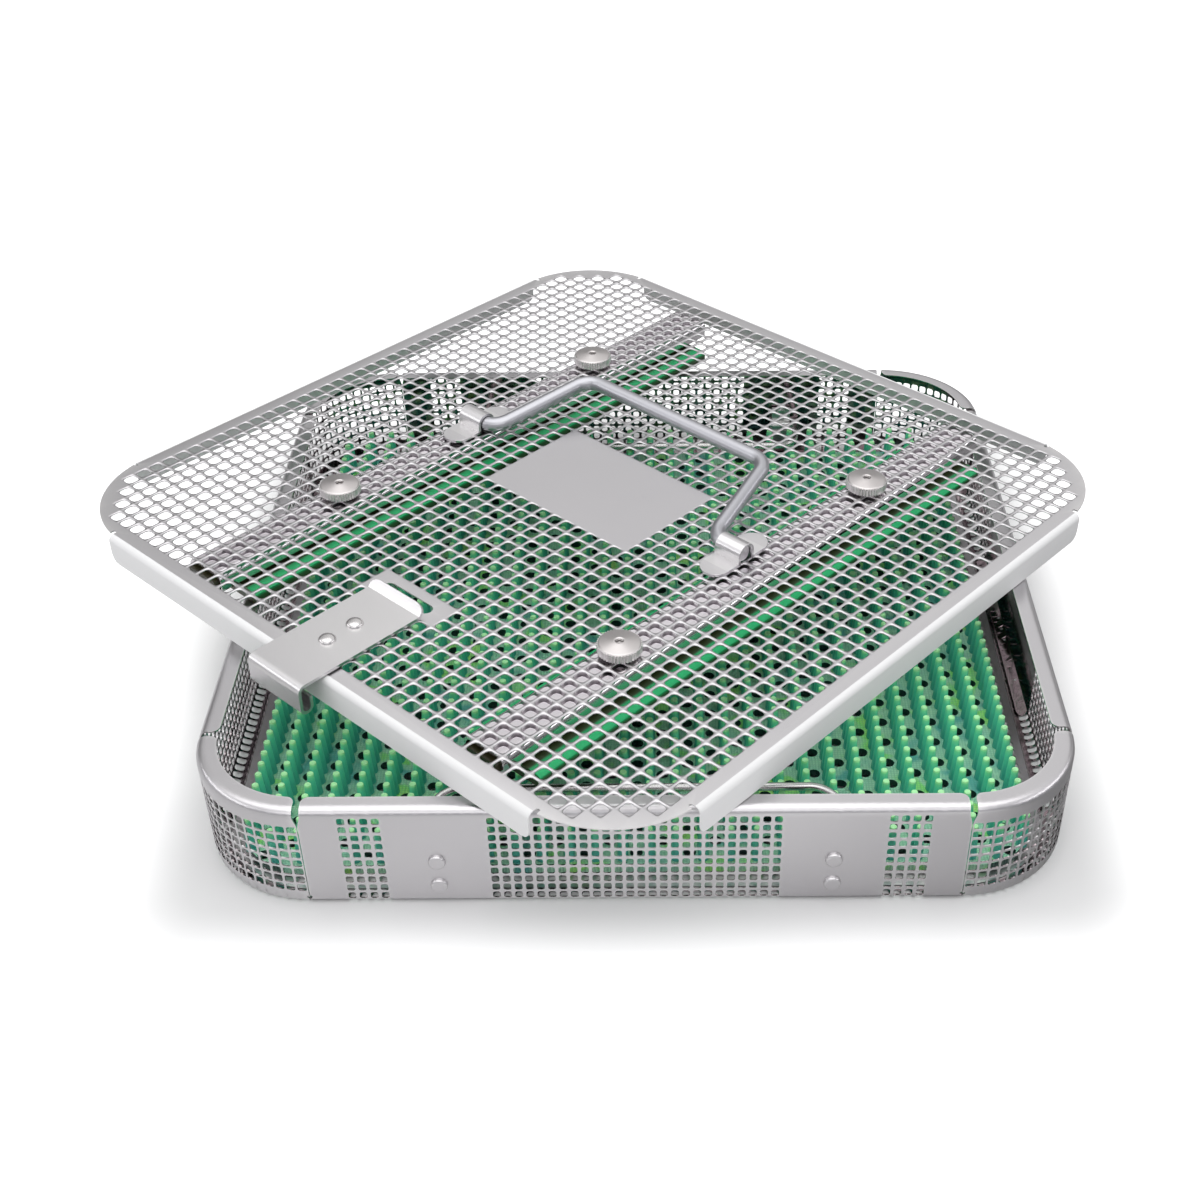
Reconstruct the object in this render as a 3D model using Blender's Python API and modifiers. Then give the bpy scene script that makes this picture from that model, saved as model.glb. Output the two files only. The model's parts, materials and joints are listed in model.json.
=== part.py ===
"""Perforated instrument basket with a finger mat and a loose perforated lid.

The lid is built in its own frame (X and Y along its edges, Z out of its top face)
and an empty lays it on the basket, turned and slightly tipped. One object is one part.
"""
import math

import bmesh
import bpy
from mathutils import Euler, Matrix, Vector

for leftover in list(bpy.data.objects):
    bpy.data.objects.remove(leftover, do_unlink=True)

MM = 0.001

# Basket
BASKET_SIDE = 250.0
BASKET_HEIGHT = 35.0
CORNER_RADIUS = 33.0
SHEET = 1.0
RIM_WIDTH = 6.0
FOOT_WIDTH = 5.0
BEND_RADIUS = 2.5
SEAM_GAP = 0.4
SEAM_NOTCH_RADIUS = 1.9
SEAM_RELIEF_RADIUS = 0.7
FLOOR_GAP = 0.2
FLOOR_WINDOWS = 8
FLOOR_WINDOW_PITCH = 27.0
FLOOR_WINDOW = 18.0
WALL_WINDOW_WIDTH = 11.0
WALL_WINDOW_HEIGHT = 10.0
WALL_WINDOW_ROWS = (9.8, 24.0)
WALL_WINDOW_PITCH = 16.4
WALL_CENTRE_WINDOWS = 5
WALL_SIDE_WINDOW_X = 75.0
WALL_SIDE_WINDOW_WIDTH = 8.6
LEFT_WALL_WINDOWS = 11
RIGHT_WALL_SOLID_HALF = 42.7
RIGHT_WALL_END_WINDOWS = 3
CORNER_WINDOWS = 3
CORNER_WINDOW_STEP = math.radians(25.0)
CORNER_WINDOW_WIDTH = 8.4

# Drop handles inside the front and back walls
BAIL_WIRE_RADIUS = 1.25
BAIL_PIVOT_HEIGHT = 11.5
BAIL_REACH = 26.8
BAIL_REST_ANGLE = math.radians(13.2)
BAIL_HALF_WIDTH = 61.5
BAIL_BEND = 6.0
BAIL_PIN_BEND = 2.0
CLIP_X = 55.0
CLIP_WIDTH = 7.0
CLIP_SHEET = 0.8
CLIP_TAB = 7.2
CLIP_CLEARANCE = 0.15
RIVET_SPREAD = 4.5
RIVET_SHANK = 1.5
RIVET_HEAD = 2.5
RIVET_HEAD_HEIGHT = 1.1
RIVET_FOOT = 2.0
PRESS_CLEARANCE = 0.02

# Silicone finger mat
MAT_SIDE = 230.0
MAT_CORNER = 18.0
MAT_BASE = 2.5
MAT_GAP = 0.2
FINGER_ROWS = 30
FINGER_PITCH = 7.69
FINGER_WIDTH = 2.4
FINGER_HEIGHT = 12.0

# Lid
LID_SIDE = 253.0
LID_CENTRE = Vector((-12.8, 19.3))
LID_TURN = math.radians(47.9)
LID_REST_GAP = 0.33
LID_BEND = 2.0
LID_FLANGE_DEPTH = 9.5
LID_FLANGE_HALF = 94.5
LID_CORNER_HALF = 125.0
LID_CORNER_RADIUS = 34.0
LID_HOLE_PITCH = 5.227
LID_HOLE = 4.25
LID_WINDOW_CELLS = 4
LID_WINDOW = 17.0
LID_WINDOW_REACH = 5
LID_CORNER_MARGIN = 10.0
NAME_PLATE_HALF = Vector((22.5, 30.5))

# Hold-down bars and their thumb nuts
NUT_COLUMN = 11.5
NUT_ROWS = {"left": 11.5, "right": -12.5}
BAR_HALF_LENGTH = 115.0
BAR_WIDTH = 15.7
BAR_LEG = 5.9
BAR_GAP = 0.1
STUD_RADIUS = 2.0
STUD_FLANGE = 3.4
STUD_HEAD = 0.9
STUD_TOP = 3.2
STRIP_HEAD = 13.0
STRIP_HEAD_HEIGHT = 3.4
STRIP_BODY = 10.0
STRIP_FOOT = 29.0
STRIP_FOOT_HEIGHT = 4.4
STRIP_FOOT_INSET = 7.5
STRIP_BOTTOM = 13.0
STRIP_OVERHANG = 1.5
NUT_RADIUS = 6.7
NUT_COLLAR = 4.6
NUT_SEAT = 0.05
NUT_KNURL_BOTTOM = 0.6
NUT_KNURL_TOP = 3.2
NUT_TOP = 4.4
NUT_CLEARANCE = 0.08

# Lid handle
HANDLE_RADIUS = 2.5
HANDLE_CLEARANCE = 0.2
BRACKET_Y = 58.5
BRACKET_LENGTH = 10.0
BRACKET_TAB = 14.0
HANDLE_END_Y = 62.5
HANDLE_ELBOW_Y = 49.5
HANDLE_GRIP_Y = 40.5
HANDLE_REACH = 38.5
HANDLE_REST_ANGLE = math.radians(10.0)
HANDLE_BEND = 7.0

# Sliding latch
LATCH_HALF_WIDTH = 11.5
LATCH_TIP_HALF = 8.0
LATCH_LIFT = 0.5
LATCH_INNER = -89.2
LATCH_OUTER = -134.4
LATCH_TAB_RUN = 2.7
LATCH_TAB_RISE = 3.0
LATCH_HOOK_DEPTH = 7.8
LATCH_HOOK_GAP = 2.6
LATCH_LIP_TOP = -3.5
LATCH_RIVETS = (-115.1, -104.7)
LATCH_TRAVEL = 4.0
SLOT_CLEARANCE = 0.3
FINGER_SLOT_X = -84.3
FINGER_SLOT_HALF_LENGTH = 10.5
FINGER_SLOT_HALF_WIDTH = 2.3


model = bpy.data.collections.new("basket_model")
cutters = bpy.data.collections.new("cutters")
bpy.context.scene.collection.children.link(model)
bpy.context.scene.collection.children.link(cutters)


def finish(name, colour, roughness, metallic):
    """A Principled material."""
    made = bpy.data.materials.new(name)
    made.use_nodes = True
    shader = made.node_tree.nodes["Principled BSDF"]
    shader.inputs["Base Color"].default_value = (*colour, 1.0)
    shader.inputs["Roughness"].default_value = roughness
    shader.inputs["Metallic"].default_value = metallic
    return made


SATIN = finish("satin_steel", (0.62, 0.61, 0.60), 0.38, 1.0)
BRIGHT = finish("bright_steel", (0.72, 0.70, 0.69), 0.18, 1.0)
SILICONE = finish("green_silicone", (0.05, 0.36, 0.16), 0.45, 0.0)


def frame(name, place=(0.0, 0.0, 0.0), turn=(0.0, 0.0, 0.0), parent=None):
    """An empty that places other parts, in millimetres and radians."""
    made = bpy.data.objects.new(name, None)
    made.empty_display_size = 0.01
    made.location = Vector(place) * MM
    made.rotation_euler = Euler(turn)
    made.parent = parent
    model.objects.link(made)
    return made


def mesh_object(name, shape, material=None, parent=None, smooth=False):
    """Turn a bmesh in millimetres into an object in metres."""
    bmesh.ops.scale(shape, vec=(MM, MM, MM), verts=shape.verts)
    data = bpy.data.meshes.new(name)
    shape.to_mesh(data)
    shape.free()
    made = bpy.data.objects.new(name, data)
    made.parent = parent
    if material is None:
        made.display_type = 'WIRE'
        made.hide_render = True
        cutters.objects.link(made)
    else:
        data.materials.append(material)
        model.objects.link(made)
    if smooth:
        data.shade_smooth()
    return made


def solidify(target, thickness):
    """Give a folded sheet its thickness on the side its normals face."""
    step = target.modifiers.new("thickness", 'SOLIDIFY')
    step.thickness = abs(thickness) * MM
    step.offset = 1.0 if thickness > 0 else -1.0
    step.use_even_offset = True


def cut(target, tool, mode='DIFFERENCE'):
    """Cut one object with another."""
    step = target.modifiers.new(tool.name, 'BOOLEAN')
    step.operation = mode
    step.solver = 'EXACT'
    step.object = tool


def rounded(corners, radii, steps=3):
    """Round the inner corners of an open path in any plane."""
    out = [Vector(corners[0])]
    for index in range(1, len(corners) - 1):
        here = Vector(corners[index])
        back = (Vector(corners[index - 1]) - here).normalized()
        ahead = (Vector(corners[index + 1]) - here).normalized()
        radius = radii[index - 1]
        if radius <= 0:
            out.append(here)
            continue
        half = back.angle(ahead) / 2
        reach = radius / math.tan(half)
        centre = here + (back + ahead).normalized() * (radius / math.sin(half))
        first = here + back * reach - centre
        last = here + ahead * reach - centre
        sweep = first.angle(last)
        for step in range(steps + 1):
            share = step / steps
            out.append(centre + (first * math.sin((1 - share) * sweep)
                                 + last * math.sin(share * sweep)) / math.sin(sweep))
    out.append(Vector(corners[-1]))
    return out


def folded(path, along, half_lengths):
    """A bent sheet: a path swept both ways along an axis, one half length per point."""
    shape = bmesh.new()
    rails = []
    for sign in (-1, 1):
        rails.append([shape.verts.new(Vector(point) + Vector(along) * sign * half)
                      for point, half in zip(path, half_lengths)])
    for index in range(len(path) - 1):
        shape.faces.new((rails[0][index], rails[0][index + 1],
                         rails[1][index + 1], rails[1][index]))
    return shape


def prism(outline, low, high):
    """A solid with a flat outline in X and Y."""
    shape = bmesh.new()
    base = shape.faces.new([shape.verts.new((x, y, low)) for x, y in outline])
    top = bmesh.ops.extrude_face_region(shape, geom=[base])
    bmesh.ops.translate(shape, vec=(0, 0, high - low),
                        verts=[v for v in top["geom"] if isinstance(v, bmesh.types.BMVert)])
    bmesh.ops.recalc_face_normals(shape, faces=shape.faces)
    return shape


def rounded_square(half, radius, steps=6):
    """The outline of a square with round corners."""
    outline = []
    for quarter in range(4):
        middle = math.radians(45 + 90 * quarter)
        centre = Vector((math.copysign(half - radius, math.cos(middle)),
                         math.copysign(half - radius, math.sin(middle))))
        for step in range(steps + 1):
            angle = middle - math.pi / 4 + math.pi / 2 * step / steps
            outline.append(centre + Vector((math.cos(angle), math.sin(angle))) * radius)
    return outline


def add_box(shape, centre, size, turn=0.0):
    """Add one box to a bmesh."""
    place = Matrix.Translation(centre) @ Matrix.Rotation(turn, 4, 'Z')
    bmesh.ops.create_cube(shape, size=1.0, matrix=place @ Matrix.Diagonal((*size, 1.0)))


def add_peg(shape, centre, radius, length, axis='Z', sides=12):
    """Add one round peg to a bmesh, its flats at the given radius."""
    radius = radius / math.cos(math.pi / sides)
    turn = {'Z': Matrix.Identity(4), 'Y': Matrix.Rotation(math.pi / 2, 4, 'X')}[axis]
    bmesh.ops.create_cone(shape, cap_ends=True, segments=sides, radius1=radius, radius2=radius,
                          depth=length, matrix=Matrix.Translation(centre) @ turn)


def turned(name, profile, sides, material, parent):
    """A lathe-turned part: a closed profile of radius and height swept about Z."""
    shape = bmesh.new()
    verts = [shape.verts.new((radius, 0.0, height)) for radius, height in profile]
    for first, second in zip(verts, verts[1:] + verts[:1]):
        if first.co.x > 0 or second.co.x > 0:
            shape.edges.new((first, second))
    made = mesh_object(name, shape, material, parent)
    step = made.modifiers.new("turn", 'SCREW')
    step.steps = sides
    step.render_steps = sides
    step.use_merge_vertices = True
    step.merge_threshold = 1e-6
    step.use_smooth_shade = False
    return made


def wire(name, path, radius, material, parent, sides=10):
    """A bent round wire with flat ends."""
    curve = bpy.data.curves.new(name + "_route", 'CURVE')
    curve.dimensions = '3D'
    curve.bevel_depth = radius * MM
    curve.bevel_resolution = sides // 2 - 2
    curve.use_fill_caps = True
    line = curve.splines.new('POLY')
    line.points.add(len(path) - 1)
    for point, place in zip(line.points, path):
        point.co = (*(Vector(place) * MM), 1.0)
    holder = bpy.data.objects.new(name + "_route", curve)
    bpy.context.scene.collection.objects.link(holder)
    bpy.context.view_layer.update()
    data = bpy.data.meshes.new_from_object(holder.evaluated_get(
        bpy.context.evaluated_depsgraph_get()))
    bpy.data.objects.remove(holder, do_unlink=True)
    shape = bmesh.new()
    shape.from_mesh(data)
    bmesh.ops.remove_doubles(shape, verts=shape.verts, dist=1e-6)
    bmesh.ops.recalc_face_normals(shape, faces=shape.faces)
    bmesh.ops.scale(shape, vec=(1 / MM, 1 / MM, 1 / MM), verts=shape.verts)
    return mesh_object(name, shape, material, parent, smooth=True)


# Basket walls and corners
half_side = BASKET_SIDE / 2
seam = half_side - CORNER_RADIUS
basket = frame("basket_frame")


def wall_section():
    """Outer surface of the basket's wall as inward distance and height."""
    corners = [(FOOT_WIDTH, 0, 0), (0, 0, 0), (0, 0, BASKET_HEIGHT),
               (RIM_WIDTH, 0, BASKET_HEIGHT)]
    return rounded(corners, (BEND_RADIUS, BEND_RADIUS))


def seam_notch(shape, side):
    """Teardrop notch where the rim is parted at a seam, and the relief hole below it."""
    add_peg(shape, (side * seam, RIM_WIDTH, BASKET_HEIGHT), SEAM_NOTCH_RADIUS, 6.0)
    add_peg(shape, (side * seam, 0, BEND_RADIUS), SEAM_RELIEF_RADIUS, 6.0, 'Y', 8)


def even_row(count):
    """Centres of evenly spaced windows about the wall's middle."""
    return [(index - (count - 1) / 2) * WALL_WINDOW_PITCH for index in range(count)]


def wall(name, place, turn, windows, riveted=False):
    """One straight wall in its own frame: outer face at Y = 0, the basket's inside at +Y."""
    holder = frame(name + "_frame", place, (0, 0, turn), basket)
    section = [(0, point.x, point.z) for point in wall_section()]
    length = seam - SEAM_GAP / 2
    made = mesh_object(name, folded(section, (1, 0, 0), [length] * len(section)), SATIN, holder)
    solidify(made, SHEET)
    tool = bmesh.new()
    for side in (-1, 1):
        seam_notch(tool, side)
        if riveted:
            for lift in (-1, 1):
                add_peg(tool, (side * CLIP_X, 0, BAIL_PIVOT_HEIGHT + lift * RIVET_SPREAD),
                        RIVET_SHANK + PRESS_CLEARANCE, 6.0, 'Y', 10)
    for across, width in windows:
        for height in WALL_WINDOW_ROWS:
            add_box(tool, (across, 0, height), (width, 4, WALL_WINDOW_HEIGHT))
    cut(made, mesh_object(name + "_openings", tool, parent=holder))
    return holder


long_windows = [(across, WALL_WINDOW_WIDTH) for across in even_row(WALL_CENTRE_WINDOWS)]
long_windows += [(side * WALL_SIDE_WINDOW_X, WALL_SIDE_WINDOW_WIDTH) for side in (-1, 1)]
left_windows = [(across, WALL_WINDOW_WIDTH) for across in even_row(LEFT_WALL_WINDOWS)]
right_windows = [(side * (RIGHT_WALL_SOLID_HALF + (index + 0.5) * WALL_WINDOW_PITCH),
                  WALL_WINDOW_WIDTH) for side in (-1, 1) for index in range(RIGHT_WALL_END_WINDOWS)]
front = wall("wall_front", (0, -half_side, 0), 0.0, long_windows, True)
right = wall("wall_right", (half_side, 0, 0), math.pi / 2, right_windows)
back = wall("wall_back", (0, half_side, 0), math.pi, long_windows, True)
left = wall("wall_left", (-half_side, 0, 0), -math.pi / 2, left_windows)


def corner(name, turn):
    """One rounded corner: the wall's section swept a quarter turn about the corner's centre."""
    holder = frame(name + "_frame", Matrix.Rotation(turn, 3, 'Z') @ Vector((seam, seam, 0)),
                   (0, 0, turn), basket)
    shape = bmesh.new()
    verts = [shape.verts.new((CORNER_RADIUS - point.x, 0, point.z)) for point in wall_section()]
    for first, second in zip(verts, verts[1:]):
        shape.edges.new((first, second))
    made = mesh_object(name, shape, SATIN, holder)
    gap = SEAM_GAP / 2 / CORNER_RADIUS
    bmesh_turn = Matrix.Rotation(gap, 4, 'Z')
    made.data.transform(bmesh_turn)
    sweep = made.modifiers.new("quarter turn", 'SCREW')
    sweep.angle = math.pi / 2 - 2 * gap
    sweep.steps = 8
    sweep.render_steps = 8
    sweep.use_smooth_shade = False
    solidify(made, SHEET)
    tool = bmesh.new()
    inner = CORNER_RADIUS - RIM_WIDTH
    for x, y, out in ((inner, 0, (CORNER_RADIUS, 0)), (0, inner, (0, CORNER_RADIUS))):
        add_peg(tool, (x, y, BASKET_HEIGHT), SEAM_NOTCH_RADIUS, 6.0)
    for index in range(CORNER_WINDOWS):
        angle = math.pi / 4 + (index - (CORNER_WINDOWS - 1) / 2) * CORNER_WINDOW_STEP
        middle = Vector((math.cos(angle), math.sin(angle), 0)) * (CORNER_RADIUS - SHEET / 2)
        for height in WALL_WINDOW_ROWS:
            add_box(tool, middle + Vector((0, 0, height)),
                    (4, CORNER_WINDOW_WIDTH, WALL_WINDOW_HEIGHT), angle)
    cut(made, mesh_object(name + "_openings", tool, parent=holder))


corner("corner_back_right", 0.0)
corner("corner_back_left", math.pi / 2)
corner("corner_front_left", math.pi)
corner("corner_front_right", -math.pi / 2)

# Basket floor
floor_half = half_side - FOOT_WIDTH - FLOOR_GAP
floor = mesh_object("basket_floor", prism(rounded_square(
    floor_half, CORNER_RADIUS - FOOT_WIDTH - FLOOR_GAP), 0.0, SHEET), SATIN, basket)
tool = bmesh.new()
for column in range(FLOOR_WINDOWS):
    for row in range(FLOOR_WINDOWS):
        middle = (FLOOR_WINDOWS - 1) / 2
        add_box(tool, ((column - middle) * FLOOR_WINDOW_PITCH,
                       (row - middle) * FLOOR_WINDOW_PITCH, 0),
                (FLOOR_WINDOW, FLOOR_WINDOW, 6))
cut(floor, mesh_object("basket_floor_openings", tool, parent=basket))

# Clips, rivets and drop handles, built on the front and back walls
wire_depth = SHEET + BAIL_WIRE_RADIUS + CLIP_CLEARANCE


def rivet(name, place, turn, parent, head, head_height, shank, grip, foot, foot_height):
    """A domed rivet: head above Z = 0, shank down through the sheets, and a formed foot."""
    holder = frame(name + "_frame", place, turn, parent)
    profile = [(0, head_height), (head * 0.55, head_height * 0.86), (head * 0.9, head_height * 0.45),
               (head, 0.03), (shank, 0.03), (shank, -grip), (foot, -grip),
               (foot, -grip - foot_height), (0, -grip - foot_height)]
    return turned(name, profile, 12, BRIGHT, holder)


def drop_handle(tag, holder):
    """Two saddle clips, four rivets and the folded wire handle of one wall."""
    bore = BAIL_WIRE_RADIUS + CLIP_CLEARANCE
    for side, label in ((-1, "a"), (1, "b")):
        place = frame(f"clip_{tag}_{label}_frame", (side * CLIP_X, SHEET, BAIL_PIVOT_HEIGHT),
                      parent=holder)
        arch = [(0, 0.02, -CLIP_TAB), (0, 0.02, -bore), (0, bore * 2, -bore),
                (0, bore * 2, bore), (0, 0.02, bore), (0, 0.02, CLIP_TAB)]
        path = rounded(arch, (0, bore * 0.96, bore * 0.96, 0), 4)
        clip = mesh_object(f"bail_clip_{tag}_{label}",
                           folded(path, (1, 0, 0), [CLIP_WIDTH / 2] * len(path)), SATIN, place)
        solidify(clip, CLIP_SHEET)
        tool = bmesh.new()
        for lift, spot in ((-1, "low"), (1, "top")):
            add_peg(tool, (0, 0, lift * RIVET_SPREAD), RIVET_SHANK + PRESS_CLEARANCE,
                    6.0, 'Y', 10)
            rivet(f"rivet_{tag}_{label}_{spot}",
                  (side * CLIP_X, 0, BAIL_PIVOT_HEIGHT + lift * RIVET_SPREAD),
                  (math.pi / 2, 0, 0), holder, RIVET_HEAD, RIVET_HEAD_HEIGHT, RIVET_SHANK,
                  SHEET + CLIP_SHEET + 0.06, RIVET_FOOT, 0.6)
        cut(clip, mesh_object(f"bail_clip_{tag}_{label}_holes", tool, parent=place))
    pivot = frame(f"bail_{tag}_pivot", (0, wire_depth, BAIL_PIVOT_HEIGHT),
                  (BAIL_REST_ANGLE, 0, 0), holder)
    end = CLIP_X - CLIP_WIDTH / 2 - 0.8
    corners = [(-end, 0, 0), (-BAIL_HALF_WIDTH, 0, 0), (-BAIL_HALF_WIDTH, BAIL_REACH, 0),
               (BAIL_HALF_WIDTH, BAIL_REACH, 0), (BAIL_HALF_WIDTH, 0, 0), (end, 0, 0)]
    path = rounded(corners, (BAIL_PIN_BEND, BAIL_BEND, BAIL_BEND, BAIL_PIN_BEND), 4)
    wire(f"bail_{tag}", path, BAIL_WIRE_RADIUS, BRIGHT, pivot, 8)


drop_handle("front", front)
drop_handle("back", back)

# Finger mat
mat_floor = SHEET + MAT_GAP
mat_top = mat_floor + MAT_BASE + FINGER_HEIGHT
tool = bmesh.new()
add_box(tool, (0, 0, mat_floor + MAT_BASE / 2), (MAT_SIDE + 4, MAT_SIDE + 4, MAT_BASE))
mat = mesh_object("finger_mat", tool, SILICONE, basket)
tool = bmesh.new()
for row in range(FINGER_ROWS):
    across = (row - (FINGER_ROWS - 1) / 2) * FINGER_PITCH
    add_box(tool, (across, 0, mat_floor + MAT_BASE - 0.5 + (FINGER_HEIGHT + 0.5) / 2),
            (FINGER_WIDTH, MAT_SIDE - 5, FINGER_HEIGHT + 0.5))
cut(mat, mesh_object("finger_rows", tool, parent=basket), 'UNION')
cut(mat, mesh_object("mat_outline", prism(rounded_square(MAT_SIDE / 2, MAT_CORNER, 4),
                                          0.0, 2 * mat_top), parent=basket), 'INTERSECT')

# Lid plate with its four flanges. It lies on the rim by its right flange and by the foot
# of its left silicone strip, which is deeper, so the lid is slightly tipped.
lid_half = LID_SIDE / 2
strip_seat = NUT_ROWS["left"] * LID_HOLE_PITCH - STRIP_FOOT / 2
lid_tip = math.atan((STRIP_BOTTOM - LID_FLANGE_DEPTH) / (strip_seat + lid_half))
lid_rest = (BASKET_HEIGHT + LID_REST_GAP + LID_FLANGE_DEPTH * math.cos(lid_tip)
            + lid_half * math.sin(lid_tip))
lid = frame("lid_frame", (*LID_CENTRE, lid_rest), (0, 0, 0))
lid.rotation_euler = (Matrix.Rotation(LID_TURN, 3, 'Z')
                      @ Matrix.Rotation(lid_tip, 3, 'X')).to_euler()
fold_line = lid_half - LID_BEND


def lid_sheet():
    """Top surface of the lid: one flat face with round corners and a flange on each side."""
    shape = bmesh.new()
    reach = LID_CORNER_HALF - LID_CORNER_RADIUS
    start = math.asin((LID_FLANGE_HALF + 1.5 - reach) / LID_CORNER_RADIUS)
    outline = []
    folds = []
    for quarter in range(4):
        turn = Matrix.Rotation(math.pi / 2 * quarter, 3, 'Z')
        side = [Vector((fold_line, -LID_FLANGE_HALF, 0)), Vector((fold_line, LID_FLANGE_HALF, 0)),
                Vector((fold_line - 1.0, LID_FLANGE_HALF + 0.3, 0)),
                Vector((fold_line - 1.0, LID_FLANGE_HALF + 1.2, 0))]
        for step in range(7):
            angle = start + (math.pi / 2 - 2 * start) * step / 6
            side.append(Vector((reach + math.cos(angle) * LID_CORNER_RADIUS,
                                reach + math.sin(angle) * LID_CORNER_RADIUS, 0)))
        side.append(Vector((LID_FLANGE_HALF + 1.2, fold_line - 1.0, 0)))
        side.append(Vector((LID_FLANGE_HALF + 0.3, fold_line - 1.0, 0)))
        folds.append(len(outline))
        outline += [turn @ point for point in side]
    verts = [shape.verts.new(point) for point in outline]
    shape.faces.new(verts)
    section = [(0.0, 0.0, LID_FLANGE_HALF)]
    for step in range(1, 4):
        angle = math.pi / 2 * step / 3
        section.append((math.sin(angle) * LID_BEND, (math.cos(angle) - 1) * LID_BEND,
                        LID_FLANGE_HALF))
    section.append((LID_BEND, 2.0 - LID_FLANGE_DEPTH, LID_FLANGE_HALF))
    section.append((LID_BEND, -LID_FLANGE_DEPTH, LID_FLANGE_HALF - 2.0))
    for quarter, first in enumerate(folds):
        turn = Matrix.Rotation(math.pi / 2 * quarter, 3, 'Z')
        rails = [verts[first], verts[first + 1]]
        for out, down, half in section[1:]:
            fresh = [shape.verts.new(turn @ Vector((fold_line + out, side * half, down)))
                     for side in (-1, 1)]
            shape.faces.new((rails[0], fresh[0], fresh[1], rails[1]))
            rails = fresh
    bmesh.ops.recalc_face_normals(shape, faces=shape.faces)
    flat = max(shape.faces, key=lambda face: face.calc_area())
    if flat.normal.z < 0:
        bmesh.ops.reverse_faces(shape, faces=shape.faces)
    return shape


def add_slot(shape, first, last, half_width):
    """Add a slot with round ends to a bmesh of cutters."""
    a, b = Vector(first), Vector(last)
    along = (b - a).normalized()
    start = math.atan2(along.y, along.x) + math.pi / 2
    points = []
    for centre, offset in ((a, 0.0), (b, math.pi)):
        for step in range(7):
            angle = start + offset + math.pi * step / 6
            points.append(centre + Vector((math.cos(angle), math.sin(angle))) * half_width)
    base = shape.faces.new([shape.verts.new((x, y, -4)) for x, y in points])
    top = bmesh.ops.extrude_face_region(shape, geom=[base])
    bmesh.ops.translate(shape, vec=(0, 0, 8),
                        verts=[v for v in top["geom"] if isinstance(v, bmesh.types.BMVert)])


nut_places = {}
for side, column in (("near", -NUT_COLUMN), ("far", NUT_COLUMN)):
    for label, row in NUT_ROWS.items():
        nut_places[f"{label}_{side}"] = Vector((column, row)) * LID_HOLE_PITCH

bracket_reach = BRACKET_TAB - 2.0
latch_zone = (lid_half + LATCH_INNER) / 2 + LATCH_TRAVEL
solid_zones = [((0, 0), NAME_PLATE_HALF),
               ((0, BRACKET_Y), (bracket_reach, BRACKET_LENGTH / 2)),
               ((0, -BRACKET_Y), (bracket_reach, BRACKET_LENGTH / 2)),
               ((latch_zone - lid_half, 0), (latch_zone, LATCH_HALF_WIDTH)),
               ((FINGER_SLOT_X, 0), (FINGER_SLOT_HALF_WIDTH, FINGER_SLOT_HALF_LENGTH))]
solid_zones += [(tuple(place), (3.0, 3.0)) for place in nut_places.values()]


def is_open(x, y):
    """True where the lid has a window, clear of its unperforated patches and corners."""
    if abs(x) + abs(y) > (2 * LID_WINDOW_REACH * LID_WINDOW_CELLS * LID_HOLE_PITCH
                          - LID_CORNER_MARGIN):
        return False
    for centre, half in solid_zones:
        if (abs(x - centre[0]) < half[0] + LID_WINDOW / 2 - 0.5
                and abs(y - centre[1]) < half[1] + LID_WINDOW / 2 - 0.5):
            return False
    return True


lid_plate = mesh_object("lid_plate", lid_sheet(), SATIN, lid)
solidify(lid_plate, -SHEET)
tool = bmesh.new()
for column in range(-LID_WINDOW_REACH, LID_WINDOW_REACH + 1):
    for row in range(-LID_WINDOW_REACH, LID_WINDOW_REACH + 1):
        x = column * LID_WINDOW_CELLS * LID_HOLE_PITCH
        y = row * LID_WINDOW_CELLS * LID_HOLE_PITCH
        if is_open(x, y):
            add_box(tool, (x, y, 0), (LID_WINDOW, LID_WINDOW, 6))
for place in nut_places.values():
    add_box(tool, (*place, 0), (LID_HOLE, LID_HOLE, 6))
slot_half = RIVET_SHANK + SLOT_CLEARANCE
add_slot(tool, (LATCH_RIVETS[0] - SLOT_CLEARANCE, 0),
         (LATCH_RIVETS[1] + LATCH_TRAVEL + SLOT_CLEARANCE, 0), slot_half)
add_slot(tool, (FINGER_SLOT_X, -FINGER_SLOT_HALF_LENGTH + FINGER_SLOT_HALF_WIDTH),
         (FINGER_SLOT_X, FINGER_SLOT_HALF_LENGTH - FINGER_SLOT_HALF_WIDTH),
         FINGER_SLOT_HALF_WIDTH)
bmesh.ops.recalc_face_normals(tool, faces=tool.faces)
cut(lid_plate, mesh_object("lid_plate_openings", tool, parent=lid))

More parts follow.
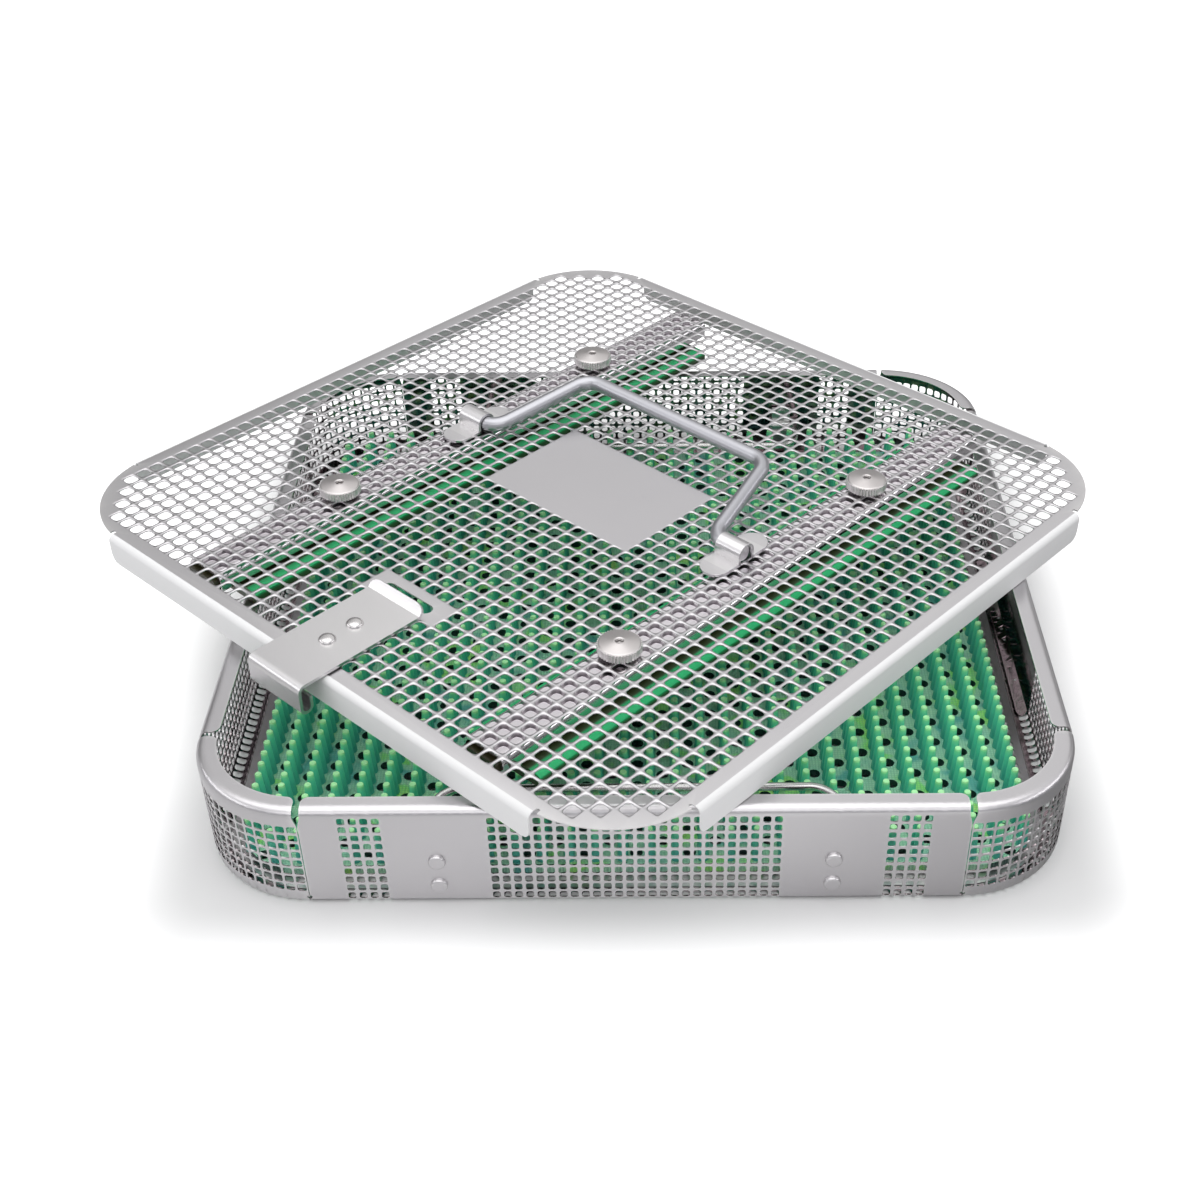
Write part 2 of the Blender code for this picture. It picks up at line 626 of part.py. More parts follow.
# Hold-down bars, silicone strips, studs and thumb nuts
for label, row in NUT_ROWS.items():
    place = frame(f"bar_{label}_frame", (0, row * LID_HOLE_PITCH, -SHEET - BAR_GAP), parent=lid)
    half = BAR_WIDTH / 2
    channel = rounded([(0, -half, -BAR_LEG), (0, -half, 0), (0, half, 0), (0, half, -BAR_LEG)],
                      (1.5, 1.5))
    bar = mesh_object(f"hold_down_bar_{label}",
                      folded(channel, (1, 0, 0), [BAR_HALF_LENGTH] * len(channel)), SATIN, place)
    solidify(bar, SHEET)
    tool = bmesh.new()
    for side in (-1, 1):
        add_peg(tool, (side * NUT_COLUMN * LID_HOLE_PITCH, 0, 0),
                STUD_RADIUS + PRESS_CLEARANCE, 6.0)
    cut(bar, mesh_object(f"hold_down_bar_{label}_holes", tool, parent=place))
    head = STRIP_HEAD / 2
    body = STRIP_BODY / 2
    foot = STRIP_FOOT / 2
    bottom = -(STRIP_BOTTOM - SHEET - BAR_GAP)
    top = -SHEET - STUD_HEAD - 0.2
    under = top - STRIP_HEAD_HEIGHT
    step = bottom + STRIP_FOOT_HEIGHT
    length = BAR_HALF_LENGTH + STRIP_OVERHANG
    along = Matrix(((0, 0, 1, 0), (1, 0, 0, 0), (0, 1, 0, 0), (0, 0, 0, 1)))
    shape = prism([(-head, top), (head, top), (head, under), (body, under - 0.4),
                   (body, step - 1.0), (-body, step - 1.0), (-body, under - 0.4),
                   (-head, under)], -length, length)
    shape.transform(along)
    strip = mesh_object(f"silicone_strip_{label}", shape, SILICONE, place)
    shape = prism([(-foot + 1.2, step), (foot - 1.2, step), (foot, step - 1.2),
                   (foot, bottom + 1.2), (foot - 1.2, bottom), (-foot + 1.2, bottom),
                   (-foot, bottom + 1.2), (-foot, step - 1.2)],
                  -BAR_HALF_LENGTH + STRIP_FOOT_INSET, BAR_HALF_LENGTH - STRIP_FOOT_INSET)
    shape.transform(along)
    cut(strip, mesh_object(f"silicone_strip_{label}_foot", shape, parent=place), 'UNION')

for label, place in nut_places.items():
    spot = frame(f"nut_{label}_axis", (*place, 0), parent=lid)
    under = -SHEET - BAR_GAP - SHEET
    turned(f"bar_stud_{label}",
           [(0, STUD_TOP), (STUD_RADIUS - 0.4, STUD_TOP), (STUD_RADIUS, STUD_TOP - 0.4),
            (STUD_RADIUS, under - 0.02), (STUD_FLANGE, under - 0.02),
            (STUD_FLANGE, under - STUD_HEAD), (0, under - STUD_HEAD)], 12, BRIGHT, spot)
    bore = STUD_RADIUS + NUT_CLEARANCE
    turned(f"thumb_nut_{label}",
           [(bore, NUT_SEAT), (bore, NUT_TOP - 0.3), (bore + 0.3, NUT_TOP),
            (NUT_RADIUS - 0.4, NUT_KNURL_TOP + 0.3), (NUT_RADIUS, NUT_KNURL_TOP),
            (NUT_RADIUS, NUT_KNURL_BOTTOM + 0.3), (NUT_RADIUS - 0.3, NUT_KNURL_BOTTOM),
            (NUT_COLLAR, NUT_KNURL_BOTTOM), (NUT_COLLAR, NUT_SEAT)], 24, BRIGHT, spot)

# Lid handle and its two saddle brackets
axis_height = HANDLE_RADIUS + HANDLE_CLEARANCE + 0.1
for label, side in (("left", 1), ("right", -1)):
    place = frame(f"bracket_{label}_frame", (0, side * BRACKET_Y, 0.02), parent=lid)
    bore = HANDLE_RADIUS + HANDLE_CLEARANCE
    arch = [(-BRACKET_TAB, 0, 0), (-bore, 0, 0), (-bore, 0, axis_height + bore),
            (bore, 0, axis_height + bore), (bore, 0, 0), (BRACKET_TAB, 0, 0)]
    path = rounded(arch, (0, bore * 0.97, bore * 0.97, 0), 5)
    halves = [BRACKET_LENGTH / 2] * len(path)
    path = [path[0], path[0] + Vector((1.5, 0, 0)), path[0] + Vector((4.0, 0, 0))] + path[1:-1] + [
        path[-1] - Vector((4.0, 0, 0)), path[-1] - Vector((1.5, 0, 0)), path[-1]]
    taper = [BRACKET_LENGTH / 2 * share for share in (0.45, 0.82, 1.0)]
    halves = taper + halves[1:-1] + taper[::-1]
    bracket = mesh_object(f"handle_bracket_{label}", folded(path, (0, 1, 0), halves), SATIN, place)
    solidify(bracket, SHEET)

hinge = frame("lid_handle_pivot", (0, 0, axis_height), (0, -HANDLE_REST_ANGLE, 0), lid)
corners = [(0, -HANDLE_END_Y, 0), (0, -HANDLE_ELBOW_Y, 0), (HANDLE_REACH, -HANDLE_GRIP_Y, 0),
           (HANDLE_REACH, HANDLE_GRIP_Y, 0), (0, HANDLE_ELBOW_Y, 0), (0, HANDLE_END_Y, 0)]
wire("lid_handle", rounded(corners, (HANDLE_BEND, HANDLE_BEND, HANDLE_BEND, HANDLE_BEND), 4),
     HANDLE_RADIUS, BRIGHT, hinge, 10)

# Sliding latch on the lid's near edge
slide = frame("latch_slide", (0, 0, 0), parent=lid)
tab = (LATCH_INNER + LATCH_TAB_RUN, 0, LATCH_LIFT + LATCH_TAB_RISE)
corners = [tab, (LATCH_INNER, 0, LATCH_LIFT), (LATCH_OUTER, 0, LATCH_LIFT),
           (LATCH_OUTER, 0, -LATCH_HOOK_DEPTH), (LATCH_OUTER + LATCH_HOOK_GAP, 0, -LATCH_HOOK_DEPTH),
           (LATCH_OUTER + LATCH_HOOK_GAP, 0, LATCH_LIP_TOP)]
hook_bend = LATCH_HOOK_GAP / 2 * 0.96
path = rounded(corners, (0.8, 1.5, hook_bend, hook_bend))
halves = [LATCH_TIP_HALF] + [LATCH_HALF_WIDTH] * (len(path) - 1)
middle = (path[0] + path[1]) / 2
path.insert(1, middle)
halves.insert(1, LATCH_HALF_WIDTH - 0.6)
latch = mesh_object("latch_plate", folded(path, (0, 1, 0), halves), SATIN, slide)
solidify(latch, -SHEET)
tool = bmesh.new()
for spot, across in zip(("outer", "inner"), LATCH_RIVETS):
    add_peg(tool, (across, 0, LATCH_LIFT), RIVET_SHANK + PRESS_CLEARANCE, 6.0)
    rivet(f"latch_rivet_{spot}", (across, 0, LATCH_LIFT + SHEET), (0, 0, 0), slide,
          RIVET_HEAD + 0.2, RIVET_HEAD_HEIGHT + 0.3, RIVET_SHANK,
          LATCH_LIFT + 2 * SHEET + 0.1, 3.4, 0.8)
cut(latch, mesh_object("latch_plate_holes", tool, parent=slide))
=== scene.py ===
# %% [markdown]
# # A perforated instrument basket, piece by piece
# A low square basket of punched and bent stainless sheet holds small surgical
# instruments on a green silicone finger mat. Its lid lies on the rim, turned by about
# 48 degrees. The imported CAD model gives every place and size. This script builds the
# fine version of each part on top of it, and each step says what the part is on the
# real object, how it could be made, and why it is made this way here.

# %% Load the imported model
import json
import math

import bmesh
import bpy
from mathutils import Matrix, Vector


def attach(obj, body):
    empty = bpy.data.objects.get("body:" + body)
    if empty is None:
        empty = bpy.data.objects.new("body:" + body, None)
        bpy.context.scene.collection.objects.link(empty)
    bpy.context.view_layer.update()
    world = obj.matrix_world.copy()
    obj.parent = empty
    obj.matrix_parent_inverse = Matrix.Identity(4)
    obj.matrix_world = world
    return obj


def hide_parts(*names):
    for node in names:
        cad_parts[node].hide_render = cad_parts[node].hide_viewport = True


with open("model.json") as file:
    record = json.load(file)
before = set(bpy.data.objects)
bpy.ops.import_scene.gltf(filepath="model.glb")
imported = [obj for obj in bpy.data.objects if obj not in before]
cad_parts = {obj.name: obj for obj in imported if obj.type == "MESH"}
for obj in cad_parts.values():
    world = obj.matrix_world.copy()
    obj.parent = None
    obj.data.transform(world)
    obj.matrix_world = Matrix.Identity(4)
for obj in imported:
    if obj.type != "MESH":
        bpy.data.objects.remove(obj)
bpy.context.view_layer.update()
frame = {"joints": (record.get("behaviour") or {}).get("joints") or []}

# %% [markdown]
# ## The lid's own frame
# The lid is easiest to draw flat, with its middle at zero. The joints of the packed
# model say where it lies: the latch slides along the lid's X, the handle turns about
# its Y, and the handle's axis runs 2.8 mm above its top face. A matrix made of these
# carries each finished lid piece to its place, so no angle is typed twice.

# %% Lengths in millimetres, and the lid's matrix
MM = 0.001
HANDLE_AXIS_HEIGHT = 2.8
HERE = Matrix.Identity(4)


def at(x=0.0, y=0.0, z=0.0):
    """A move by X, Y and Z."""
    return Matrix.Translation((x, y, z))


def quarters(count, size=4):
    """Quarter turns about Z."""
    return Matrix.Rotation(math.pi / 2 * count, size, 'Z')


joints = {joint["name"]: joint for joint in frame["joints"]}
lid_x = Vector(joints["latch_slide"]["axis"]).normalized()
lid_y = -Vector(joints["handle_hinge"]["axis"]).normalized()
lid_z = lid_x.cross(lid_y)
lid_middle = Vector(joints["handle_hinge"]["pos_m"]) / MM - lid_z * HANDLE_AXIS_HEIGHT
LID = at(*lid_middle) @ Matrix((lid_x, lid_y, lid_z)).transposed().to_4x4()
print("lid middle in mm:", [round(value, 2) for value in lid_middle],
      "turned", round(math.degrees(math.atan2(lid_x.y, lid_x.x)), 2), "degrees")

# %% [markdown]
# ## Small helpers for node trees
# Shader trees and Geometry Nodes trees are wired in the same way: a node is added, its
# settings are set, and each input gets a value or a wire. A wire is one output of a
# node. Plain arithmetic on wires adds Math nodes, so that the formulas in the trees
# below read like formulas.

# %% Helpers for nodes
SOCKETS = {int: 'NodeSocketInt', float: 'NodeSocketFloat', bool: 'NodeSocketBool'}
SMOOTH = {"interpolation_type": 'SMOOTHSTEP'}


class Wire:
    """One output of a node. Its methods add a node after it in the same tree."""

    def __init__(self, node, key=0):
        self.node, self.key = node, key

    def __getitem__(self, key):
        """Another output of the same node."""
        return Wire(self.node, key)

    def put(self, kind, feeds=None, **settings):
        """Add a node. feeds maps its inputs' names or numbers to what feed takes."""
        node = self.node.id_data.nodes.new(kind)
        for key, value in settings.items():
            setattr(node, key, value)
        feed(node, feeds or {})
        return Wire(node)

    def step(self, operation, *others):
        """One step of arithmetic, by a Math node."""
        return self.put('ShaderNodeMath', dict(enumerate((self, *others))),
                        operation=operation)

    def mapped(self, low, high, new_low=0.0, new_high=1.0, **settings):
        """The stretch from low to high, mapped onto a new one."""
        return self.put('ShaderNodeMapRange', {0: self, 1: low, 2: high, 3: new_low,
                                               4: new_high}, **settings)

    def mix(self, first, second):
        """A colour between two, with this wire as the share of the second."""
        return self.put('ShaderNodeMix', {0: self, 6: first, 7: second},
                        data_type='RGBA')[2]

    def ramp(self, *stops):
        """A colour by (position, colour) stops."""
        made = self.put('ShaderNodeValToRGB', {0: self})
        points = made.node.color_ramp.elements
        while len(points) < len(stops):
            points.new(0.5)
        for point, (place, colour) in zip(points, stops):
            point.position, point.color = place, (*colour, 1.0)
        return made

    def parts(self):
        """The X, Y and Z of a vector."""
        made = self.put('ShaderNodeSeparateXYZ', {0: self})
        return made[0], made[1], made[2]

    def vector(self, x=0.0, y=0.0, z=0.0):
        """A vector of three numbers or wires."""
        return self.put('ShaderNodeCombineXYZ', {0: x, 1: y, 2: z})

    def __rsub__(self, other):
        return self.put('ShaderNodeMath', {0: other, 1: self}, operation='SUBTRACT')

    def __neg__(self):
        return self * -1.0


for method, operation in {
        "__add__": 'ADD', "__radd__": 'ADD', "__sub__": 'SUBTRACT', "__mul__": 'MULTIPLY',
        "__rmul__": 'MULTIPLY', "__truediv__": 'DIVIDE', "__mod__": 'MODULO',
        "__pow__": 'POWER', "__lt__": 'LESS_THAN', "__gt__": 'GREATER_THAN',
        "__abs__": 'ABSOLUTE', "root": 'SQRT', "sine": 'SINE', "cosine": 'COSINE',
        "at_least": 'MAXIMUM', "at_most": 'MINIMUM', "near": 'COMPARE'}.items():
    setattr(Wire, method, lambda self, *others, operation=operation: self.step(
        operation, *others))


def feed(node, feeds):
    """Give inputs of a node a value, a wire, or a list of wires."""
    for key, value in feeds.items():
        if isinstance(value, (Wire, list)):
            for wire in value if isinstance(value, list) else [value]:
                node.id_data.links.new(wire.node.outputs[wire.key], node.inputs[key])
        else:
            colour = node.inputs[key].type == 'RGBA'
            node.inputs[key].default_value = (*value, 1.0) if colour else value


def new_tree(name, kind, sizes, results):
    """A node group and a wire of its inputs. Each socket has a type or a start value."""
    tree = bpy.data.node_groups.new(name, kind)
    for in_out, sockets in (('INPUT', sizes), ('OUTPUT', results)):
        for label, value in sockets.items():
            socket = tree.interface.new_socket(
                label, in_out=in_out, socket_type=SOCKETS.get(type(value), value))
            if type(value) in SOCKETS:
                socket.default_value = value
    return tree, Wire(tree.nodes.new('NodeGroupInput'))


def new_material(name):
    """A material, a wire to start its tree from, and its Principled shader."""
    made = bpy.data.materials.new(name)
    made.use_nodes = True
    shader = made.node_tree.nodes["Principled BSDF"]
    return made, Wire(shader), shader


# %% [markdown]
# ## Finishes
# Three finishes cover the whole basket: bead-blasted sheet steel, brighter steel for
# wire and turned parts, and green silicone. What they share is built once as shader
# groups: the fine grain that blasting leaves, the faint cloudiness of handled metal,
# and the brighter polish along edges. Each material places a group with its own values,
# and keeps the Principled shader itself.

# %% Shader groups


def build_grain():
    """Blasted grain: a height and a small change of roughness, on Object coordinates."""
    tree, sizes = new_tree("blasted_grain", 'ShaderNodeTree', {
        "Grains per metre": 4000.0, "Cloud per metre": 30.0, "Roughness": 0.38,
        "Spread": 0.06}, {"Height": 0.0, "Roughness": 0.0, "Cloud": 0.0})
    place = sizes.put('ShaderNodeTexCoord')["Object"]
    grain, cloud = [sizes.put('ShaderNodeTexNoise', {
        "Vector": place, "Detail": detail, "Scale": sizes[scale]})
        for detail, scale in ((2.0, "Grains per metre"), (4.0, "Cloud per metre"))]
    rough = (cloud - 0.5) * sizes["Spread"] + sizes["Roughness"]
    sizes.put('NodeGroupOutput', {
        "Height": grain, "Roughness": (grain - 0.5) * sizes["Spread"] + rough,
        "Cloud": cloud})
    return tree


def build_edge_wear():
    """Edge polish: 1 on sharp outer edges, fading to 0 on flat faces."""
    tree, sizes = new_tree("edge_wear", 'ShaderNodeTree', {"From": 0.52, "To": 0.60},
                           {"Edge": 0.0})
    point = sizes.put('ShaderNodeNewGeometry')["Pointiness"]
    sizes.put('NodeGroupOutput', {0: point.mapped(sizes["From"], sizes["To"])})
    return tree


def build_dimples():
    """A fine square dimple pattern: 1 on the raised lines, 0 in the dimples."""
    tree, sizes = new_tree("moulded_dimples", 'ShaderNodeTree',
                           {"Lines per metre": 1100.0}, {"Height": 0.0})
    x, y, _ = sizes.put('ShaderNodeTexCoord')["Object"].parts()
    across, along = [abs((side * math.pi * sizes[0]).sine()) for side in (x, y)]
    sizes.put('NodeGroupOutput', {0: 1.0 - across * along})
    return tree


GRAIN, EDGE_WEAR, DIMPLES = build_grain(), build_edge_wear(), build_dimples()
print("shader groups:", GRAIN.name, EDGE_WEAR.name, DIMPLES.name)

# %% [markdown]
# Steel gets its look from what it mirrors, so its material is mostly a base colour, a
# roughness and a very fine bump. The blasted sheet is a little warm and lilac, as the
# photograph shows it, and its cut edges are brighter. Inside, the walls keep the streaky
# finish of the mill, and their colour is painted shade and painted reflection: level streaks
# between a very dark tint and a pale rose one, under a low roughness. Turned parts also have
# fine rings round their axis, from their own "ring" attribute.

# %% Steel finishes
WORN_EDGE = (0.9, 0.89, 0.88)
FINE_GRAINS = 2500.0


def steel(name, colour, pale, roughness, spread, grains, bump, mill_streaks_and_reflections=None, rings=None):
    """A steel finish: grain, faint clouds or level streaky bands of two tints, which carry
    mill marks and painted reflection and shading, and polished edges.
    """
    made, tree, shader = new_material(name)
    grain = tree.put('ShaderNodeGroup', {"Grains per metre": grains, "Roughness": roughness,
                                         "Spread": spread}, node_tree=GRAIN)
    wear = tree.put('ShaderNodeGroup', node_tree=EDGE_WEAR)
    share = grain["Cloud"]
    if mill_streaks_and_reflections:
        stretched = tree.put('ShaderNodeVectorMath', {
            0: tree.put('ShaderNodeTexCoord')["Object"], 1: (9.0, 9.0, mill_streaks_and_reflections)},
            operation='MULTIPLY')
        share = tree.put('ShaderNodeTexNoise', {
            "Vector": stretched, "Scale": 1.0, "Detail": 3.0}).mapped(0.35, 0.65)
    bumped = tree.put('ShaderNodeBump', {"Strength": bump, "Distance": 0.0001,
                                         "Height": grain["Height"]})
    if rings:
        radius = tree.put('ShaderNodeAttribute', attribute_name="ring")["Fac"]
        wobble = tree.put('ShaderNodeTexNoise', {"W": radius, "Scale": 3.0},
                          noise_dimensions='1D')
        bumped = tree.put('ShaderNodeBump', {
            "Strength": 0.35, "Distance": 0.00001, "Normal": bumped,
            "Height": (wobble * 6.0 + radius * rings).sine()})
    feed(shader, {"Metallic": 1.0, "Roughness": grain["Roughness"], "Normal": bumped,
                  "Base Color": (wear * 0.5).mix(share.mix(colour, pale), WORN_EDGE)})
    return made


SATIN = steel("blasted_sheet_steel", (0.600, 0.585, 0.605), (0.650, 0.635, 0.645),
              0.30, 0.06, 3500.0, 0.20)
# The inside of the walls: painted shade, a very dark tint, in level streaks with a pale rose
# tint of painted reflection.
INSIDE_PAINTED_SHADE = steel("inside_mill_streaks_and_painted_shade", (0.04, 0.03, 0.04), (0.36, 0.28, 0.30),
               0.09, 0.04, FINE_GRAINS, 0.04, mill_streaks_and_reflections=230.0)
POLISHED = steel("bright_bar_steel", (0.66, 0.61, 0.66), (0.72, 0.68, 0.72),
                 0.10, 0.05, FINE_GRAINS, 0.05)
BRIGHT = steel("turned_bright_steel", (0.62, 0.60, 0.60), (0.68, 0.66, 0.66),
               0.26, 0.06, FINE_GRAINS, 0.06)
ROD = steel("ground_rod_steel", (0.47, 0.47, 0.50), (0.53, 0.53, 0.56),
            0.34, 0.06, FINE_GRAINS, 0.10)
TURNED = steel("turned_nut_steel", (0.60, 0.565, 0.56), (0.66, 0.63, 0.62),
               0.36, 0.05, FINE_GRAINS, 0.02, rings=16.0)
print("steel finishes:", SATIN.name, INSIDE_PAINTED_SHADE.name, BRIGHT.name, ROD.name, TURNED.name)

# %% [markdown]
# Silicone is soft, slightly translucent rubber. The mat's fingers get painted light and shade
# over their green: lime at their tips, where light comes through them, and deep green lower
# down, where less light reaches them, so their colour follows the height above the base. The
# base between them is moulded with a fine fabric-like dimple pattern. The light that passes
# through it is painted too, as clouds of lime and teal, and the base gets a small regular bump
# and painted shade along the lines of the pattern. The walls of its drain holes get painted
# shade, a very dark green.

# %% Silicone finishes
# Painted shade for the drain holes' walls.
DRAIN_SHADE_GREEN = (0.015, 0.08, 0.06)
# Painted shade along the lines of the dimple pattern.
DIMPLE_SHADE_GREEN = (0.08, 0.40, 0.27)
DRAIN_DROP = 0.013
DRAINS_END = 0.1145


def silicone(name, low, high, stops, base_share=-1.0, painted_shade=None):
    """Green silicone with painted light and shading: coloured by height in metres, or by a
    named attribute of the piece.
    """
    made, tree, shader = new_material(name)
    place = tree.put('ShaderNodeTexCoord')["Object"]
    x, y, height = place.parts()
    share = height.mapped(low, high, clamp=False)
    # The strips take painted shade from an attribute instead of from the height.
    if painted_shade:
        share = tree.put('ShaderNodeAttribute', attribute_name=painted_shade)["Fac"]
    clouds = tree.put('ShaderNodeTexNoise', {"Vector": place, "Scale": 75.0, "Detail": 2.0,
                                             "Distortion": 0.6})
    # Clouds of painted light on the base: lime where light passes through it, teal where it
    # doesn't.
    patch = clouds.ramp((0.32, (0.14, 0.50, 0.46)), (0.42, (0.42, 0.78, 0.58)),
                        (0.56, (0.50, 0.86, 0.58)), (0.62, (0.36, 0.98, 0.24)),
                        (0.75, (0.62, 1.00, 0.22)))
    on_base = share < base_share
    dimples = tree.put('ShaderNodeGroup', node_tree=DIMPLES)
    # Painted shade along the lines of the dimple pattern, on the base only.
    colour = on_base.mix(share.ramp(*stops), (dimples * 0.40).mix(patch, DIMPLE_SHADE_GREEN))
    # Painted shade on the drain holes' walls.
    in_drain = (share < base_share - DRAIN_DROP) * (abs(x).at_least(abs(y)) < DRAINS_END)
    fine = tree.put('ShaderNodeTexNoise', {"Vector": place, "Scale": 900.0})
    relief = dimples * on_base * -1.0 + fine * 0.15
    feed(shader, {
        "Base Color": in_drain.mix(colour, DRAIN_SHADE_GREEN),
        "Roughness": fine.mapped(0.0, 1.0, 0.30, 0.44), "Specular IOR Level": 0.6,
        "Subsurface Weight": 0.12, "Subsurface Scale": 0.002,
        "Subsurface Radius": (0.6, 1.0, 0.5),
        "Normal": tree.put('ShaderNodeBump', {"Strength": 0.6, "Distance": 0.0002,
                                              "Height": relief})})
    return made


# Painted light and shade on the fingers: deep green low down, lime at the lit tips.
MAT_GREEN = silicone("green_mat_silicone", 0.0037, 0.0157, [
    (0.0, (0.07, 0.46, 0.40)), (0.45, (0.10, 0.60, 0.43)), (0.80, (0.12, 0.70, 0.43)),
    (0.93, (0.21, 0.80, 0.41)), (1.0, (0.48, 1.00, 0.46))], 0.012)
# Painted shade on the strips: vivid green on the lit top of the foot, dark olive where the bar
# shades it.
STRIP_GREEN = silicone("green_strip_silicone", 0.0, 1.0, [
    (0.0, (0.01, 0.58, 0.20)), (0.5, (0.02, 0.30, 0.10)), (1.0, (0.035, 0.032, 0.010))],
    painted_shade="painted_shade")
print("silicone finishes:", MAT_GREEN.name, STRIP_GREEN.name)

# %% [markdown]
# ## From a drawn mesh to a finished piece
# Every piece is drawn in millimetres and in its own handy frame. To finish it, its mesh is
# moved to its place and scaled to metres, edges sharper than an angle stay crisp, the piece is
# hung under an empty for the body it rides on, and the CAD parts it stands for are hidden. The
# object itself stays at the origin, so a pattern on Object coordinates never slides.

# %% Helpers for pieces


def linked(name, data):
    """A new object in the scene."""
    made = bpy.data.objects.new(name, data)
    bpy.context.scene.collection.objects.link(made)
    return made


def to_object(name, shape, material):
    """Turn a bmesh into an object."""
    data = bpy.data.meshes.new(name)
    shape.to_mesh(data)
    shape.free()
    data.materials.append(material)
    return linked(name, data)


def baked(made):
    """Replace an object by a plain copy of what its modifiers make of it."""
    bpy.context.view_layer.update()
    ready = made.evaluated_get(bpy.context.evaluated_depsgraph_get())
    data = bpy.data.meshes.new_from_object(ready)
    name = made.name
    bpy.data.objects.remove(made, do_unlink=True)
    data.name = name
    return linked(name, data)


def thicken(made, thickness, offset):
    """Give a sheet its thickness, below its faces at offset -1 and above them at 1."""
    step = made.modifiers.new("thickness", 'SOLIDIFY')
    step.thickness, step.offset, step.use_even_offset = thickness, offset, True


def outwards(made):
    """Turn all faces of a closed shape outwards, and report edges that are open."""
    shape = bmesh.new()
    shape.from_mesh(made.data)
    bmesh.ops.recalc_face_normals(shape, faces=shape.faces)
    shape.to_mesh(made.data)
    print(f"{made.name}: {sum(len(edge.link_faces) != 2 for edge in shape.edges)} open edges")
    shape.free()


def finished(made, body, nodes, where=HERE, sharp=35.0):
    """Place a piece, smooth its shading, hang it under its body, and hide the CAD parts it
    replaces.
    """
    made.data.transform(Matrix.Diagonal((MM, MM, MM, 1.0)) @ where)
    made.data.shade_smooth()
    made.data.set_sharp_from_angle(angle=math.radians(sharp))
    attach(made, body)
    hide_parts(*nodes)
    made.data.calc_loop_triangles()
    print(f"{made.name}: {len(made.data.loop_triangles)} triangles on {body}")
    return made


# %% [markdown]
# ## Growing a piece with Geometry Nodes
# Holes, rivets, knurls and fingers repeat by a rule, so node trees make them. A tree
# has named inputs for its sizes. They are set on the modifier by the sockets'
# identifiers before the object is looked at for the first time, and the result becomes
# a plain mesh.

# %% Helpers for Geometry Nodes
WELD = 0.02
FINE_WELD = 0.001
LINED_DEPTH = 2.0


def geometry_tree(name, sizes):
    """A Geometry Nodes tree with a geometry, named sizes and a material as inputs."""
    geometry = {"Geometry": 'NodeSocketGeometry'}
    return new_tree(name, 'GeometryNodeTree', {
        **geometry, **sizes, "Material": 'NodeSocketMaterial'}, geometry)


def end_tree(tree, sizes, shape):
    """Close a tree: real geometry with its material on it."""
    real = sizes.put('GeometryNodeRealizeInstances', {0: shape})
    sizes.put('NodeGroupOutput', {0: sizes.put('GeometryNodeSetMaterial', {
        "Geometry": real, "Material": sizes["Material"]})})
    return tree


def joined(*shapes):
    """Several geometries as one."""
    return shapes[0].put('GeometryNodeJoinGeometry', {0: list(shapes)})


def filled(curves, mode='TRIANGLES'):
    """Flat faces inside closed curves."""
    return curves.put('GeometryNodeFillCurve', {0: curves}, mode=mode)


def flipped(shape):
    """The same faces turned over."""
    return shape.put('GeometryNodeFlipFaces', {0: shape})


def welded(shape, distance=WELD):
    """Instances made real, with points that meet merged."""
    real = shape.put('GeometryNodeRealizeInstances', {0: shape})
    return shape.put('GeometryNodeMergeByDistance', {"Geometry": real,
                                                     "Distance": distance})


def outline_of(mesh, **more):
    """The edges of a mesh as curves."""
    return mesh.put('GeometryNodeMeshToCurve', {0: mesh, **more})


def moved(shape, **change):
    """A geometry with another Translation or Scale."""
    return shape.put('GeometryNodeTransform', {0: shape, **change})


def on_points(points, shape, **more):
    """An instance on each point."""
    return shape.put('GeometryNodeInstanceOnPoints', {"Points": points, "Instance": shape,
                                                      **more})


def extruded(shape, offset=None, **more):
    """Edges of a mesh doubled into faces, and pulled out by an offset if there is one."""
    pull = {"Offset": offset, "Offset Scale": 1.0} if offset else {"Offset Scale": 0.0}
    return shape.put('GeometryNodeExtrudeMesh', {"Mesh": shape, **pull, **more},
                     mode='EDGES')


def position(tree):
    """The X, Y and Z of the points that are looked at."""
    return tree.put('GeometryNodeInputPosition').parts()


def attribute(tree, name, kind='FLOAT'):
    """A named attribute of the points."""
    return tree.put('GeometryNodeInputNamedAttribute', {"Name": name}, data_type=kind)


def rectangle(tree, wide, tall):
    """A closed curve: a rectangle."""
    return tree.put('GeometryNodeCurvePrimitiveQuadrilateral', {"Width": wide,
                                                                "Height": tall})


def rounded_window(tree, wide, tall, corner, steps):
    """A closed curve: a rectangle with round corners, each of a few short steps."""
    return tree.put('GeometryNodeFilletCurve', {
        "Curve": rectangle(tree, wide, tall), "Count": steps, "Radius": corner},
        mode='POLY')


def points_mesh(name, places, edges=(), **facts):
    """A mesh of points, with edges or attributes if there are any."""
    data = bpy.data.meshes.new(name)
    data.from_pydata(places, edges, [])
    for label, values in facts.items():
        if isinstance(values[0], tuple):
            data.attributes.new(label, 'FLOAT_VECTOR', 'POINT').data.foreach_set(
                "vector", [number for value in values for number in value])
        else:
            data.attributes.new(label, 'FLOAT', 'POINT').data.foreach_set("value", values)
    return data


def grow(name, tree, material, start, sizes=None, thickness=0.0):
    """Run a tree on a start mesh, and return the result as a plain object."""
    made = linked(name, start)
    step = made.modifiers.new(tree.name, 'NODES')
    step.node_group = tree
    wanted = dict(sizes or {}, Material=material)
    for item in tree.interface.items_tree:
        if item.in_out == 'INPUT' and item.name in wanted:
            step[item.identifier] = wanted.pop(item.name)
    assert not wanted, f"{tree.name} has no input {sorted(wanted)}"
    if thickness:
        thicken(made, thickness, -1.0)
    return baked(made)


